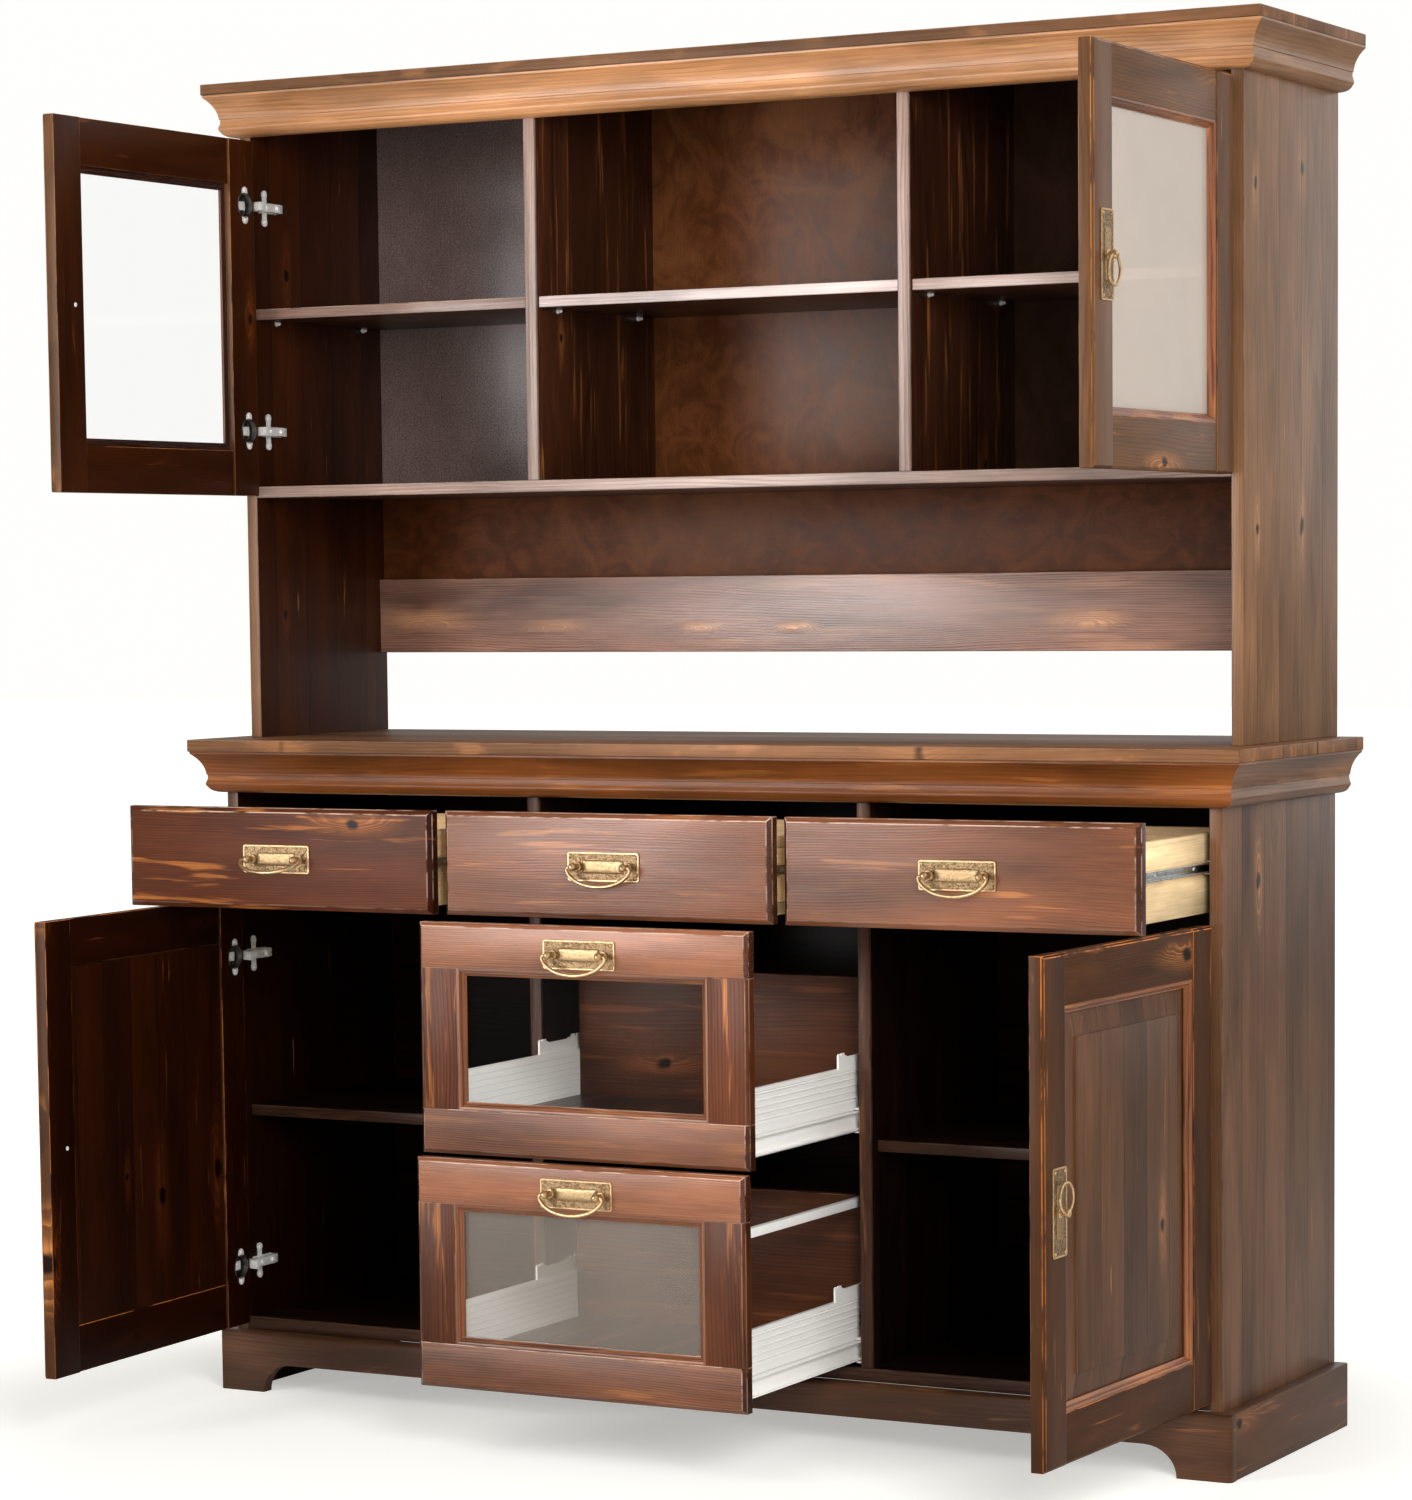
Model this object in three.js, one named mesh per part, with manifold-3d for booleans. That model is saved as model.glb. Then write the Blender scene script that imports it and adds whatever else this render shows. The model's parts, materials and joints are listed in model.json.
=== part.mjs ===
// A dresser with a glazed hutch on a base cabinet, in millimetres.
// X runs to the right, Y from the front to the back plane at 0, and Z up from the floor.
// Doors and drawers are modelled closed, then turned or pulled out to the pose they rest in.

import * as THREE from "three";
import { mergeVertices } from "three/addons/utils/BufferGeometryUtils.js";
import Module from "manifold-3d";

const wasm = await Module();
wasm.setup();

// Base cabinet
const boardThickness = 17.5;
const baseWidth = 1511;
const baseDepth = 403;
const baseHeight = 913;
const basePartitionSpacing = 502.4;
const backThickness = 5;
const worktopThickness = 17;
const worktopSideOverhang = 39.5;
const worktopFrontOverhang = 40.7;

// Plinth round the base
const plinthHeight = 86.7;
const plinthThickness = 18.6;
const plinthCorner = 7;
const plinthFootWidth = 74.4;
const plinthArchHeight = 41;
const plinthArchEnd = 45;

// Hutch on the worktop
const hutchSideOutset = 2.8;
const hutchWidth = baseWidth + 2 * hutchSideOutset;
const hutchDepth = 335.3;
const hutchHeight = 905;
const hutchPartitionSpacing = 566.8;
const hutchBottomHeight = 340;
const hutchBottomThickness = 16;
const backRailGap = 114.5;
const backRailHeight = 108;
const backRailThickness = 18;
const corniceThickness = 15;
const corniceSideOverhang = 38;
const corniceFrontOverhang = 41;

// Moulding under the worktop and under the cornice board
const mouldingProjection = 37.5;
const mouldingDrop = 58.5;

// Shelves on pins
const shelfThickness = 15;
const shelfEndClearance = 1;
const baseShelfHeight = 407;
const baseShelfSetback = 18;
const hutchShelfShare = 0.4554;
const hutchShelfSetback = 5;
const shelfPinRadius = 3;
const shelfPinLength = 8;
const shelfPinInset = 50;

// Doors and drawer fronts
const frontThickness = 19;
const frontGap = 2;
const frontOverlap = 0.5;
const sideReveal = 8.5;
const bottomReveal = 10.3;
const hutchBottomReveal = 2.8;
const topReveal = 6.2;
const reveal = 4;
const frontBevel = 6;
const frontBevelDepth = 5;
const topFrontHeight = 137;

// Framed fronts: doors and glazed drawer fronts
const stileWidth = 58;
const doorRailWidth = 63;
const drawerRailWidth = 59;
const frameBevel = 3;
const beadWidth = 10;
const beadStep = 1.5;
const beadDepth = 8;
const rebateWidth = 9;
const rebateDepth = 9;
const railStep = 3;
const stileStep = 1;
const glassThickness = 4;
const panelTongue = 6;
const panelMargin = 32;
const panelEdgeGap = 1;
const panelRise = 3;
const seatClearance = 0.3;
const fittingRoot = 1;

// Concealed hinges
const pinFromEdge = 6;
const pinFromInnerFace = 14;
const cupRadius = 17.5;
const cupDepth = 11.5;
const cupFromEdge = 22.5;
const cupRim = 0.5;
const flangeThickness = 1.2;
const flangeHeight = 52;
const flangeWidth = 13;
const armHeight = 13;
const armThickness = 12;
const armReach = 78;
const armNoseDepth = 6.5;
const armNoseLength = 12;
const hingeClearance = 0.3;
const mountThickness = 3;
const mountHeight = 51;
const mountWidth = 12;
const mountFromFront = 25;
const hutchHingeFromEnd = 91;
const baseHingeFromEnd = 84;

// Door pulls: a plate with a ring through its post
const doorPlateWidth = 38;
const doorPlateHeight = 107;
const doorPlateFromEdge = 39.5;
const ringRadius = 18;
const ringWire = 2;
const ringPostReach = 10;
const ringPostRadius = 5.5;

// Drawer handles: a plate with two posts and a bail between them
const handlePlateWidth = 106;
const handlePlateHeight = 38;
const plateThickness = 2;
const plateCorner = 5;
const platePinRadius = 2;
const platePinInset = 5;
const postSpacing = 75;
const postCollarRadius = 6;
const postCollarThickness = 2.5;
const postNeckRadius = 3.4;
const postBallRadius = 5.4;
const postReach = 15;
const bailWire = 2.2;
const bailHalfSpan = 47;
const bailDrop = 23;
const wireClearance = 0.5;

// Top drawer boxes
const topBoxHeight = 101;
const topBoxBelowFrontTop = 27;
const topBoxLength = 380;
const topBoxWall = 12;
const drawerBottomThickness = 6;
const drawerBottomRaise = 10;

// Glazed drawers' trays
const trayLength = 370;
const traySideHeight = 88;
const traySideThickness = 11;
const trayAboveFrontBottom = 13;
const trayBottomThickness = 16;
const trayBackThickness = 16;
const trayBackHeight = 201;
const trayBracketLength = 110;
const trayBracketHeight = 20;
const trayBracketThickness = 3;
const galleryAboveTray = 205;
const galleryHeight = 13;

// Runners: a channel on the cabinet and a bar on the drawer
const runnerGap = 12.7;
const runnerSetback = 4;
const runnerClearance = 0.6;
const channelDepth = 9;
const topRunnerHeight = 17;
const topRunnerWall = 1.5;
const trayRunnerHeight = 33;
const trayRunnerWall = 2;

// The pose at rest
const doorAngles = { hutchLeft: 90.5, hutchRight: 91, baseLeft: 87.5, baseRight: 88.4 };
const drawerPulls = { left: 230, middle: 224, right: 223, upper: 290, lower: 305 };
const bailAngles = { left: 50, middle: 4, right: 4, upper: 8, lower: 8 };

// How finely round shapes are divided, how far a cut runs past what it opens, and the welding distance
const roundSides = 12;
const wireSides = 6;
const cornerSides = 3;
const overrun = 6;
const weldDistance = 1e-4;

// Materials

function paint(colour, roughness, metalness, opacity = 1) {
  const transparent = opacity < 1;
  return new THREE.MeshStandardMaterial({ color: colour, roughness, metalness, opacity, transparent });
}

const carcassWood = () => paint("#5c3a28", 0.5, 0);
const frontWood = () => paint("#6b4530", 0.45, 0);
const mouldingWood = () => paint("#8a5a36", 0.45, 0);
const backWood = () => paint("#452b20", 0.6, 0);
const paleWood = () => paint("#c9a272", 0.6, 0);
const glass = () => paint("#dfe8e6", 0.05, 0, 0.3);
const brass = () => paint("#b9a06a", 0.35, 0.9);
const nickel = () => paint("#b9b6ae", 0.35, 1);
const whiteMetal = () => paint("#ecebe6", 0.4, 0.1);

// Solids

function solidFrom(geometry) {
  const bare = geometry.clone();
  bare.deleteAttribute("normal");
  bare.deleteAttribute("uv");
  const merged = mergeVertices(bare, weldDistance);
  const vertProperties = merged.attributes.position.array;
  const triVerts = Uint32Array.from(merged.index.array);
  return new wasm.Manifold(new wasm.Mesh({ numProp: 3, vertProperties, triVerts }));
}

function geometryFrom(solid) {
  const mesh = solid.getMesh();
  const geometry = new THREE.BufferGeometry();
  geometry.setAttribute("position", new THREE.BufferAttribute(mesh.vertProperties, 3));
  geometry.setIndex(new THREE.BufferAttribute(mesh.triVerts, 1));
  geometry.computeVertexNormals();
  return geometry;
}

function joined(...geometries) {
  const [first, ...others] = geometries.map(solidFrom);
  return geometryFrom(others.reduce((sum, other) => sum.add(other), first));
}

function cut(geometry, ...tools) {
  return geometryFrom(tools.map(solidFrom).reduce((rest, tool) => rest.subtract(tool), solidFrom(geometry)));
}

// A box between two opposite corners.
function block([x0, y0, z0], [x1, y1, z1]) {
  const geometry = new THREE.BoxGeometry(x1 - x0, y1 - y0, z1 - z0);
  return geometry.translate((x0 + x1) / 2, (y0 + y1) / 2, (z0 + z1) / 2);
}

// A skin over a row of rings with equal point counts, closed by flat ends.
function loft(rings) {
  const count = rings[0].length;
  const positions = rings.flat().flatMap((point) => point.toArray());
  const faces = [];
  for (let ring = 0; ring + 1 < rings.length; ring += 1) {
    for (let side = 0; side < count; side += 1) {
      const a = ring * count + side;
      const b = ring * count + ((side + 1) % count);
      faces.push(a, b, b + count, a, b + count, a + count);
    }
  }
  const last = (rings.length - 1) * count;
  for (const [a, b, c] of endTriangles(rings[0])) {
    faces.push(c, b, a);
    faces.push(last + a, last + b, last + c);
  }
  const geometry = new THREE.BufferGeometry();
  geometry.setAttribute("position", new THREE.Float32BufferAttribute(positions, 3));
  geometry.setIndex(faces);
  return facingOut(geometry);
}

// Triangles that fill a flat ring, found in the plane where it is largest and wound as the ring runs.
function endTriangles(ring) {
  const views = [
    (point) => new THREE.Vector2(point.x, point.y),
    (point) => new THREE.Vector2(point.y, point.z),
    (point) => new THREE.Vector2(point.z, point.x),
  ];
  const flat = views
    .map((view) => ring.map(view))
    .sort((one, other) => Math.abs(THREE.ShapeUtils.area(other)) - Math.abs(THREE.ShapeUtils.area(one)))[0];
  const clockwise = THREE.ShapeUtils.isClockWise(flat);
  const order = clockwise ? [...flat].reverse() : flat;
  const highest = flat.length - 1;
  const triangles = THREE.ShapeUtils.triangulateShape(order, []);
  return triangles.map((triangle) => {
    const [a, b, c] = clockwise ? triangle.map((index) => highest - index) : triangle;
    return clockwise ? [c, b, a] : [a, b, c];
  });
}

// The same mesh with its faces turned to point outwards.
function facingOut(geometry) {
  const { position } = geometry.attributes;
  const corners = [new THREE.Vector3(), new THREE.Vector3(), new THREE.Vector3()];
  let volume = 0;
  for (let i = 0; i < geometry.index.count; i += 3) {
    corners.forEach((corner, k) => corner.fromBufferAttribute(position, geometry.index.getX(i + k)));
    volume += corners[0].dot(corners[1].clone().cross(corners[2]));
  }
  if (volume < 0) geometry.index.array.reverse();
  return geometry;
}

function mirrored(geometry) {
  const copy = geometry.clone();
  copy.scale(-1, 1, 1);
  return facingOut(copy);
}

// A rectangle in the XZ plane, drawn in by an inset, as one ring of a loft along Y.
function rectangle(low, high, y, inset = 0) {
  const [x0, z0] = [low[0] + inset, low[1] + inset];
  const [x1, z1] = [high[0] - inset, high[1] - inset];
  return [
    new THREE.Vector3(x0, y, z0),
    new THREE.Vector3(x1, y, z0),
    new THREE.Vector3(x1, y, z1),
    new THREE.Vector3(x0, y, z1),
  ];
}

// A cylinder along X, from one X to another.
function rodAlongX(x0, x1, y, z, radius, sides = roundSides) {
  const geometry = new THREE.CylinderGeometry(radius, radius, Math.abs(x1 - x0), sides);
  return geometry.rotateZ(Math.PI / 2).translate((x0 + x1) / 2, y, z);
}

// A cylinder along Y, from one Y to another.
function rodAlongY(x, y0, y1, z, radius, sides = roundSides) {
  const geometry = new THREE.CylinderGeometry(radius, radius, Math.abs(y1 - y0), sides);
  return geometry.translate(x, (y0 + y1) / 2, z);
}

function addPiece(parent, name, geometry, material) {
  const mesh = new THREE.Mesh(geometry, material);
  mesh.name = name;
  parent.add(mesh);
  return mesh;
}

function groupAt(parent, x, y, z) {
  const group = new THREE.Group();
  group.position.set(x, y, z);
  parent.add(group);
  return group;
}

// Places worked out from the driving sizes

const baseHalf = baseWidth / 2;
const hutchHalf = hutchWidth / 2;
const worktopTop = baseHeight + worktopThickness;
const corniceUnderside = worktopTop + hutchHeight;
const frontPlane = -(baseDepth + frontGap);
const baseMiddleHalf = (basePartitionSpacing - boardThickness) / 2;
const baseOuterStart = (basePartitionSpacing + boardThickness) / 2;
const hutchMiddleHalf = (hutchPartitionSpacing - boardThickness) / 2;
const hutchOuterStart = (hutchPartitionSpacing + boardThickness) / 2;
const baseSideFace = baseHalf - boardThickness;
const hutchSideFace = hutchHalf - boardThickness;
const baseBottomTop = plinthHeight + boardThickness;
const hutchBottomTop = worktopTop + hutchBottomHeight + hutchBottomThickness;

const topFrontTop = baseHeight - mouldingDrop - topReveal;
const topFrontBottom = topFrontTop - topFrontHeight;
const lowFrontsTop = topFrontBottom - reveal;
const lowFrontsBottom = plinthHeight + bottomReveal;
const glazedHeight = (lowFrontsTop - lowFrontsBottom - reveal) / 2;
const topBoxTop = topFrontTop - topBoxBelowFrontTop;
const topBoxBottom = topBoxTop - topBoxHeight;
const topRunnerZ = (topBoxTop + topBoxBottom) / 2 + topRunnerHeight / 2;
const lowerTrayBottom = lowFrontsBottom + trayAboveFrontBottom;
const upperTrayBottom = lowerTrayBottom + glazedHeight + reveal;
const trayRunnerRise = trayRunnerHeight / 2;

// Mouldings: one profile run along the left side, the front and the right side, mitred at both corners

// The profile as shares of the projection and of the drop: fillet, cove, step, bead and round foot.
const filletShare = 0.05;
const coveEndShares = [0.56, 0.52];
const coveControlShares = [0.63, 0.24];
const stepShares = [0.52, 0.7];
const beadControlShares = [0.64, 0.78];
const beadEndShares = [0.52, 0.86];
const footControlShares = [0.42, 1];
const curveSteps = 3;

function mouldingProfile() {
  const at = ([out, down]) => [out * mouldingProjection, down * mouldingDrop];
  const profile = new THREE.Shape();
  profile.moveTo(0, 0);
  profile.lineTo(...at([1, 0]));
  profile.lineTo(...at([1, filletShare]));
  profile.quadraticCurveTo(...at(coveControlShares), ...at(coveEndShares));
  profile.lineTo(...at(stepShares));
  profile.quadraticCurveTo(...at(beadControlShares), ...at(beadEndShares));
  profile.quadraticCurveTo(...at(footControlShares), ...at([0, 1]));
  return profile.getPoints(curveSteps);
}

function moulding(halfWidth, depth, top) {
  const profile = mouldingProfile();
  const stations = [
    ({ x: out, y: down }) => new THREE.Vector3(-halfWidth - out, 0, top - down),
    ({ x: out, y: down }) => new THREE.Vector3(-halfWidth - out, -depth - out, top - down),
    ({ x: out, y: down }) => new THREE.Vector3(halfWidth + out, -depth - out, top - down),
    ({ x: out, y: down }) => new THREE.Vector3(halfWidth + out, 0, top - down),
  ];
  return loft(stations.map((station) => profile.map(station)));
}

// Plinth: front board with a shallow arch, and two side boards, round the foot of the base

function plinth() {
  const inner = baseHalf + seatClearance;
  const outer = inner + plinthThickness;
  const innerFront = -(baseDepth + seatClearance);
  const outerFront = innerFront - plinthThickness;
  const plan = new THREE.Shape();
  plan.moveTo(-outer, 0);
  plan.lineTo(-outer, outerFront + plinthCorner);
  plan.absarc(plinthCorner - outer, outerFront + plinthCorner, plinthCorner, Math.PI, 1.5 * Math.PI, false);
  plan.absarc(outer - plinthCorner, outerFront + plinthCorner, plinthCorner, -Math.PI / 2, 0, false);
  plan.lineTo(outer, 0);
  plan.lineTo(inner, 0);
  plan.lineTo(inner, innerFront);
  plan.lineTo(-inner, innerFront);
  plan.lineTo(-inner, 0);
  const boards = new THREE.ExtrudeGeometry(plan, {
    depth: plinthHeight,
    bevelEnabled: false,
    curveSegments: cornerSides,
  });
  const archHalf = outer - plinthFootWidth;
  const straightHalf = archHalf - plinthArchEnd;
  const arch = new THREE.Shape();
  arch.moveTo(-archHalf, -overrun);
  arch.lineTo(archHalf, -overrun);
  arch.absellipse(straightHalf, 0, plinthArchEnd, plinthArchHeight, 0, Math.PI / 2, false);
  arch.absellipse(-straightHalf, 0, plinthArchEnd, plinthArchHeight, Math.PI / 2, Math.PI, false);
  const opening = new THREE.ExtrudeGeometry(arch, {
    depth: plinthThickness + 2 * overrun,
    bevelEnabled: false,
    curveSegments: roundSides / 2,
  });
  opening.rotateX(Math.PI / 2).translate(0, innerFront + overrun, 0);
  return cut(boards, opening);
}

// Runners

function channel(face, inward, centreZ, height, wall) {
  const [front, back] = [-(baseDepth - runnerSetback), -(backThickness + runnerSetback)];
  const across = (x0, x1, z0, z1) =>
    block(
      [Math.min(face + inward * x0, face + inward * x1), front, z0],
      [Math.max(face + inward * x0, face + inward * x1), back, z1],
    );
  const [low, high] = [centreZ - height / 2, centreZ + height / 2];
  return [
    across(-fittingRoot, wall, low, high),
    across(-fittingRoot, channelDepth, low, low + wall),
    across(-fittingRoot, channelDepth, high - wall, high),
  ];
}

function runnerBar(drawerFace, outward, centreZ, height, wall, length) {
  const half = height / 2 - wall - runnerClearance;
  const reach = runnerGap - wall - runnerClearance;
  const [x0, x1] = [drawerFace - outward * fittingRoot, drawerFace + outward * reach];
  return block(
    [Math.min(x0, x1), frontPlane + runnerSetback, centreZ - half],
    [Math.max(x0, x1), frontPlane + length, centreZ + half],
  );
}

const topChannel = (face, inward) => channel(face, inward, topRunnerZ, topRunnerHeight, topRunnerWall);
const trayChannel = (face, inward, bottom) =>
  channel(face, inward, bottom + trayRunnerRise, trayRunnerHeight, trayRunnerWall);

// Shelf pins on the face of an upright, two under each end of a shelf

function shelfPins(face, inward, underside, front) {
  const z = underside - shelfPinRadius;
  const places = [front + shelfPinInset, -(backThickness + shelfPinInset)];
  const [root, tip] = [face - inward * fittingRoot, face + inward * shelfPinLength];
  return places.map((y) => rodAlongX(root, tip, y, z, shelfPinRadius, wireSides));
}

// Base cabinet

function baseUpright(x0, x1, bottom, back, fittings) {
  return joined(block([x0, -baseDepth, bottom], [x1, back, baseHeight]), ...fittings);
}

function baseSide(side) {
  const [x0, x1] = side < 0 ? [-baseHalf, -baseSideFace] : [baseSideFace, baseHalf];
  const face = side * baseSideFace;
  const pins = shelfPins(face, -side, baseShelfHeight - shelfThickness, baseShelfSetback - baseDepth);
  return baseUpright(x0, x1, 0, 0, [...topChannel(face, -side), ...pins]);
}

function basePartition(side) {
  const [inner, outer] = [side * baseMiddleHalf, side * baseOuterStart];
  const pins = shelfPins(outer, side, baseShelfHeight - shelfThickness, baseShelfSetback - baseDepth);
  return baseUpright(Math.min(inner, outer), Math.max(inner, outer), baseBottomTop, -backThickness, [
    ...topChannel(outer, side),
    ...topChannel(inner, -side),
    ...trayChannel(inner, -side, upperTrayBottom),
    ...trayChannel(inner, -side, lowerTrayBottom),
    ...pins,
  ]);
}

function baseShelf(side) {
  const [near, far] = [baseOuterStart + shelfEndClearance, baseSideFace - shelfEndClearance];
  const [x0, x1] = side < 0 ? [-far, -near] : [near, far];
  return block(
    [x0, baseShelfSetback - baseDepth, baseShelfHeight - shelfThickness],
    [x1, -backThickness - shelfEndClearance, baseShelfHeight],
  );
}

function buildBase(parent) {
  const bottom = block(
    [-baseSideFace, -baseDepth, plinthHeight],
    [baseSideFace, -backThickness, baseBottomTop],
  );
  const back = block([-baseSideFace, -backThickness, plinthHeight], [baseSideFace, 0, baseHeight]);
  const worktop = block(
    [-baseHalf - worktopSideOverhang, -baseDepth - worktopFrontOverhang, baseHeight],
    [baseHalf + worktopSideOverhang, 0, worktopTop],
  );
  addPiece(parent, "base_side_left", baseSide(-1), carcassWood());
  addPiece(parent, "base_side_right", baseSide(1), carcassWood());
  addPiece(parent, "base_partition_left", basePartition(-1), carcassWood());
  addPiece(parent, "base_partition_right", basePartition(1), carcassWood());
  addPiece(parent, "base_bottom", bottom, carcassWood());
  addPiece(parent, "base_back", back, backWood());
  addPiece(parent, "base_shelf_left", baseShelf(-1), carcassWood());
  addPiece(parent, "base_shelf_right", baseShelf(1), carcassWood());
  addPiece(parent, "plinth", plinth(), carcassWood());
  addPiece(parent, "worktop", worktop, carcassWood());
  addPiece(parent, "worktop_moulding", moulding(baseHalf, baseDepth, baseHeight), mouldingWood());
}

// Hutch

const hutchShelfTop = hutchBottomTop + hutchShelfShare * (corniceUnderside - hutchBottomTop);
const hutchShelfFront = hutchShelfSetback - hutchDepth;

function hutchUpright(x0, x1, bottom, back, pins) {
  return joined(block([x0, -hutchDepth, bottom], [x1, back, corniceUnderside]), ...pins);
}

function hutchSide(side) {
  const [x0, x1] = side < 0 ? [-hutchHalf, -hutchSideFace] : [hutchSideFace, hutchHalf];
  const pins = shelfPins(side * hutchSideFace, -side, hutchShelfTop - shelfThickness, hutchShelfFront);
  return hutchUpright(x0, x1, worktopTop, 0, pins);
}

function hutchPartition(side) {
  const [inner, outer] = [side * hutchMiddleHalf, side * hutchOuterStart];
  const pins = [
    ...shelfPins(inner, -side, hutchShelfTop - shelfThickness, hutchShelfFront),
    ...shelfPins(outer, side, hutchShelfTop - shelfThickness, hutchShelfFront),
  ];
  return hutchUpright(Math.min(inner, outer), Math.max(inner, outer), hutchBottomTop, -backThickness, pins);
}

function hutchShelf(low, high) {
  return block(
    [low + shelfEndClearance, hutchShelfFront, hutchShelfTop - shelfThickness],
    [high - shelfEndClearance, -backThickness - shelfEndClearance, hutchShelfTop],
  );
}

function buildHutch(parent) {
  const railBottom = worktopTop + backRailGap;
  const railTop = railBottom + backRailHeight;
  const bottom = block(
    [-hutchSideFace, -hutchDepth, worktopTop + hutchBottomHeight],
    [hutchSideFace, -backThickness, hutchBottomTop],
  );
  const back = block([-hutchSideFace, -backThickness, railTop], [hutchSideFace, 0, corniceUnderside]);
  const rail = block([-hutchSideFace, -backRailThickness, railBottom], [hutchSideFace, 0, railTop]);
  const top = block(
    [-hutchHalf - corniceSideOverhang, -hutchDepth - corniceFrontOverhang, corniceUnderside],
    [hutchHalf + corniceSideOverhang, 0, corniceUnderside + corniceThickness],
  );
  addPiece(parent, "hutch_side_left", hutchSide(-1), carcassWood());
  addPiece(parent, "hutch_side_right", hutchSide(1), carcassWood());
  addPiece(parent, "hutch_partition_left", hutchPartition(-1), carcassWood());
  addPiece(parent, "hutch_partition_right", hutchPartition(1), carcassWood());
  addPiece(parent, "hutch_bottom", bottom, carcassWood());
  addPiece(parent, "hutch_shelf_left", hutchShelf(-hutchSideFace, -hutchOuterStart), carcassWood());
  addPiece(parent, "hutch_shelf_middle", hutchShelf(-hutchMiddleHalf, hutchMiddleHalf), carcassWood());
  addPiece(parent, "hutch_shelf_right", hutchShelf(hutchOuterStart, hutchSideFace), carcassWood());
  addPiece(parent, "hutch_back", back, backWood());
  addPiece(parent, "hutch_back_rail", rail, paleWood());
  addPiece(parent, "cornice_board", top, carcassWood());
  addPiece(parent, "cornice_moulding", moulding(hutchHalf, hutchDepth, corniceUnderside), mouldingWood());
}

// Handles

// A plate with round corners and a pin near each corner. It lies on Y 0, with a root behind it, and faces -Y.
function plate(width, height) {
  const [halfWidth, halfHeight] = [width / 2, height / 2];
  const [flatX, flatZ] = [halfWidth - plateCorner, halfHeight - plateCorner];
  const outline = new THREE.Shape();
  outline.absarc(flatX, flatZ, plateCorner, 0, Math.PI / 2, false);
  outline.absarc(-flatX, flatZ, plateCorner, Math.PI / 2, Math.PI, false);
  outline.absarc(-flatX, -flatZ, plateCorner, Math.PI, 1.5 * Math.PI, false);
  outline.absarc(flatX, -flatZ, plateCorner, -Math.PI / 2, 0, false);
  const sheet = new THREE.ExtrudeGeometry(outline, {
    depth: plateThickness + fittingRoot,
    bevelEnabled: false,
    curveSegments: cornerSides,
  });
  sheet.rotateX(Math.PI / 2).translate(0, fittingRoot, 0);
  const pins = [];
  for (const x of [platePinInset - halfWidth, halfWidth - platePinInset]) {
    for (const z of [platePinInset - halfHeight, halfHeight - platePinInset]) {
      const head = plateThickness + platePinRadius / 2;
      pins.push(rodAlongY(x, -head, -plateThickness / 2, z, platePinRadius, cornerSides * 2));
    }
  }
  return joined(sheet, ...pins);
}

// A turned post on the axis of -Y: collar, neck and ball.
function ballPost(x) {
  const ballSteps = 4;
  const profile = [
    [0, 0],
    [postCollarRadius, 0],
    [postCollarRadius, postCollarThickness],
    [postNeckRadius, postCollarThickness + postNeckRadius / 2],
  ];
  const startAngle = Math.asin(postNeckRadius / postBallRadius);
  for (let step = 0; step < ballSteps; step += 1) {
    const angle = startAngle + ((Math.PI - startAngle) * step) / ballSteps;
    profile.push([postBallRadius * Math.sin(angle), postReach - postBallRadius * Math.cos(angle)]);
  }
  profile.push([0, postReach + postBallRadius]);
  const points = profile.map(([radius, out]) => new THREE.Vector2(radius, -out));
  const post = mergeVertices(bareLathe(points), weldDistance);
  return facingOut(post).translate(x, 0, 0);
}

function bareLathe(points) {
  const geometry = new THREE.LatheGeometry(points, roundSides);
  geometry.deleteAttribute("normal");
  geometry.deleteAttribute("uv");
  return geometry;
}

function handlePlate() {
  const half = postSpacing / 2;
  const holes = [-1, 1].map((side) => {
    const inner = side * (half - postBallRadius / 4);
    const outer = side * (half + postBallRadius + overrun);
    return rodAlongX(inner, outer, -postReach, 0, bailWire + wireClearance);
  });
  return cut(joined(plate(handlePlateWidth, handlePlateHeight), ballPost(-half), ballPost(half)), ...holes);
}

// The bail hangs from the axis through both balls, here the X axis.
const bailShares = [
  [0.97, -0.07],
  [1, -0.26],
  [0.95, -0.58],
  [0.75, -0.86],
  [0.4, -0.98],
];

function bail() {
  const start = [postSpacing / 2, 0];
  const straight = [postSpacing / 2 + postBallRadius, 0];
  const bend = bailShares.map(([across, down]) => [across * bailHalfSpan, down * bailDrop]);
  const right = [start, straight, ...bend].map(([x, z]) => new THREE.Vector3(x, 0, z));
  const left = [...right].reverse().map(({ x, z }) => new THREE.Vector3(-x, 0, z));
  const path = new THREE.CatmullRomCurve3([...right, new THREE.Vector3(0, 0, -bailDrop), ...left]);
  const section = new THREE.Shape();
  section.absarc(0, 0, bailWire, 0, 2 * Math.PI, false);
  return new THREE.ExtrudeGeometry(section, {
    steps: roundSides * 3,
    curveSegments: wireSides / 2,
    bevelEnabled: false,
    extrudePath: path,
  });
}

function addHandle(parent, name, x, z, angle) {
  const pivot = groupAt(parent, x, frontPlane - frontThickness - postReach, z);
  pivot.rotation.x = -THREE.MathUtils.degToRad(angle);
  addPiece(pivot, `${name}_bail`, bail(), brass());
}

function doorPull() {
  const post = rodAlongY(0, -(ringPostReach + ringPostRadius), -plateThickness / 2, 0, ringPostRadius);
  const eye = ringWire + wireClearance + ringWire / 4;
  const reach = ringPostRadius + overrun;
  return cut(
    joined(plate(doorPlateWidth, doorPlateHeight), post),
    rodAlongX(-reach, reach, -ringPostReach, 0, eye),
  );
}

function pullRing() {
  const ring = new THREE.TorusGeometry(ringRadius, ringWire, wireSides, roundSides * 2);
  return ring.rotateX(Math.PI / 2).translate(0, 0, -ringRadius);
}

// Framed fronts

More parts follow.
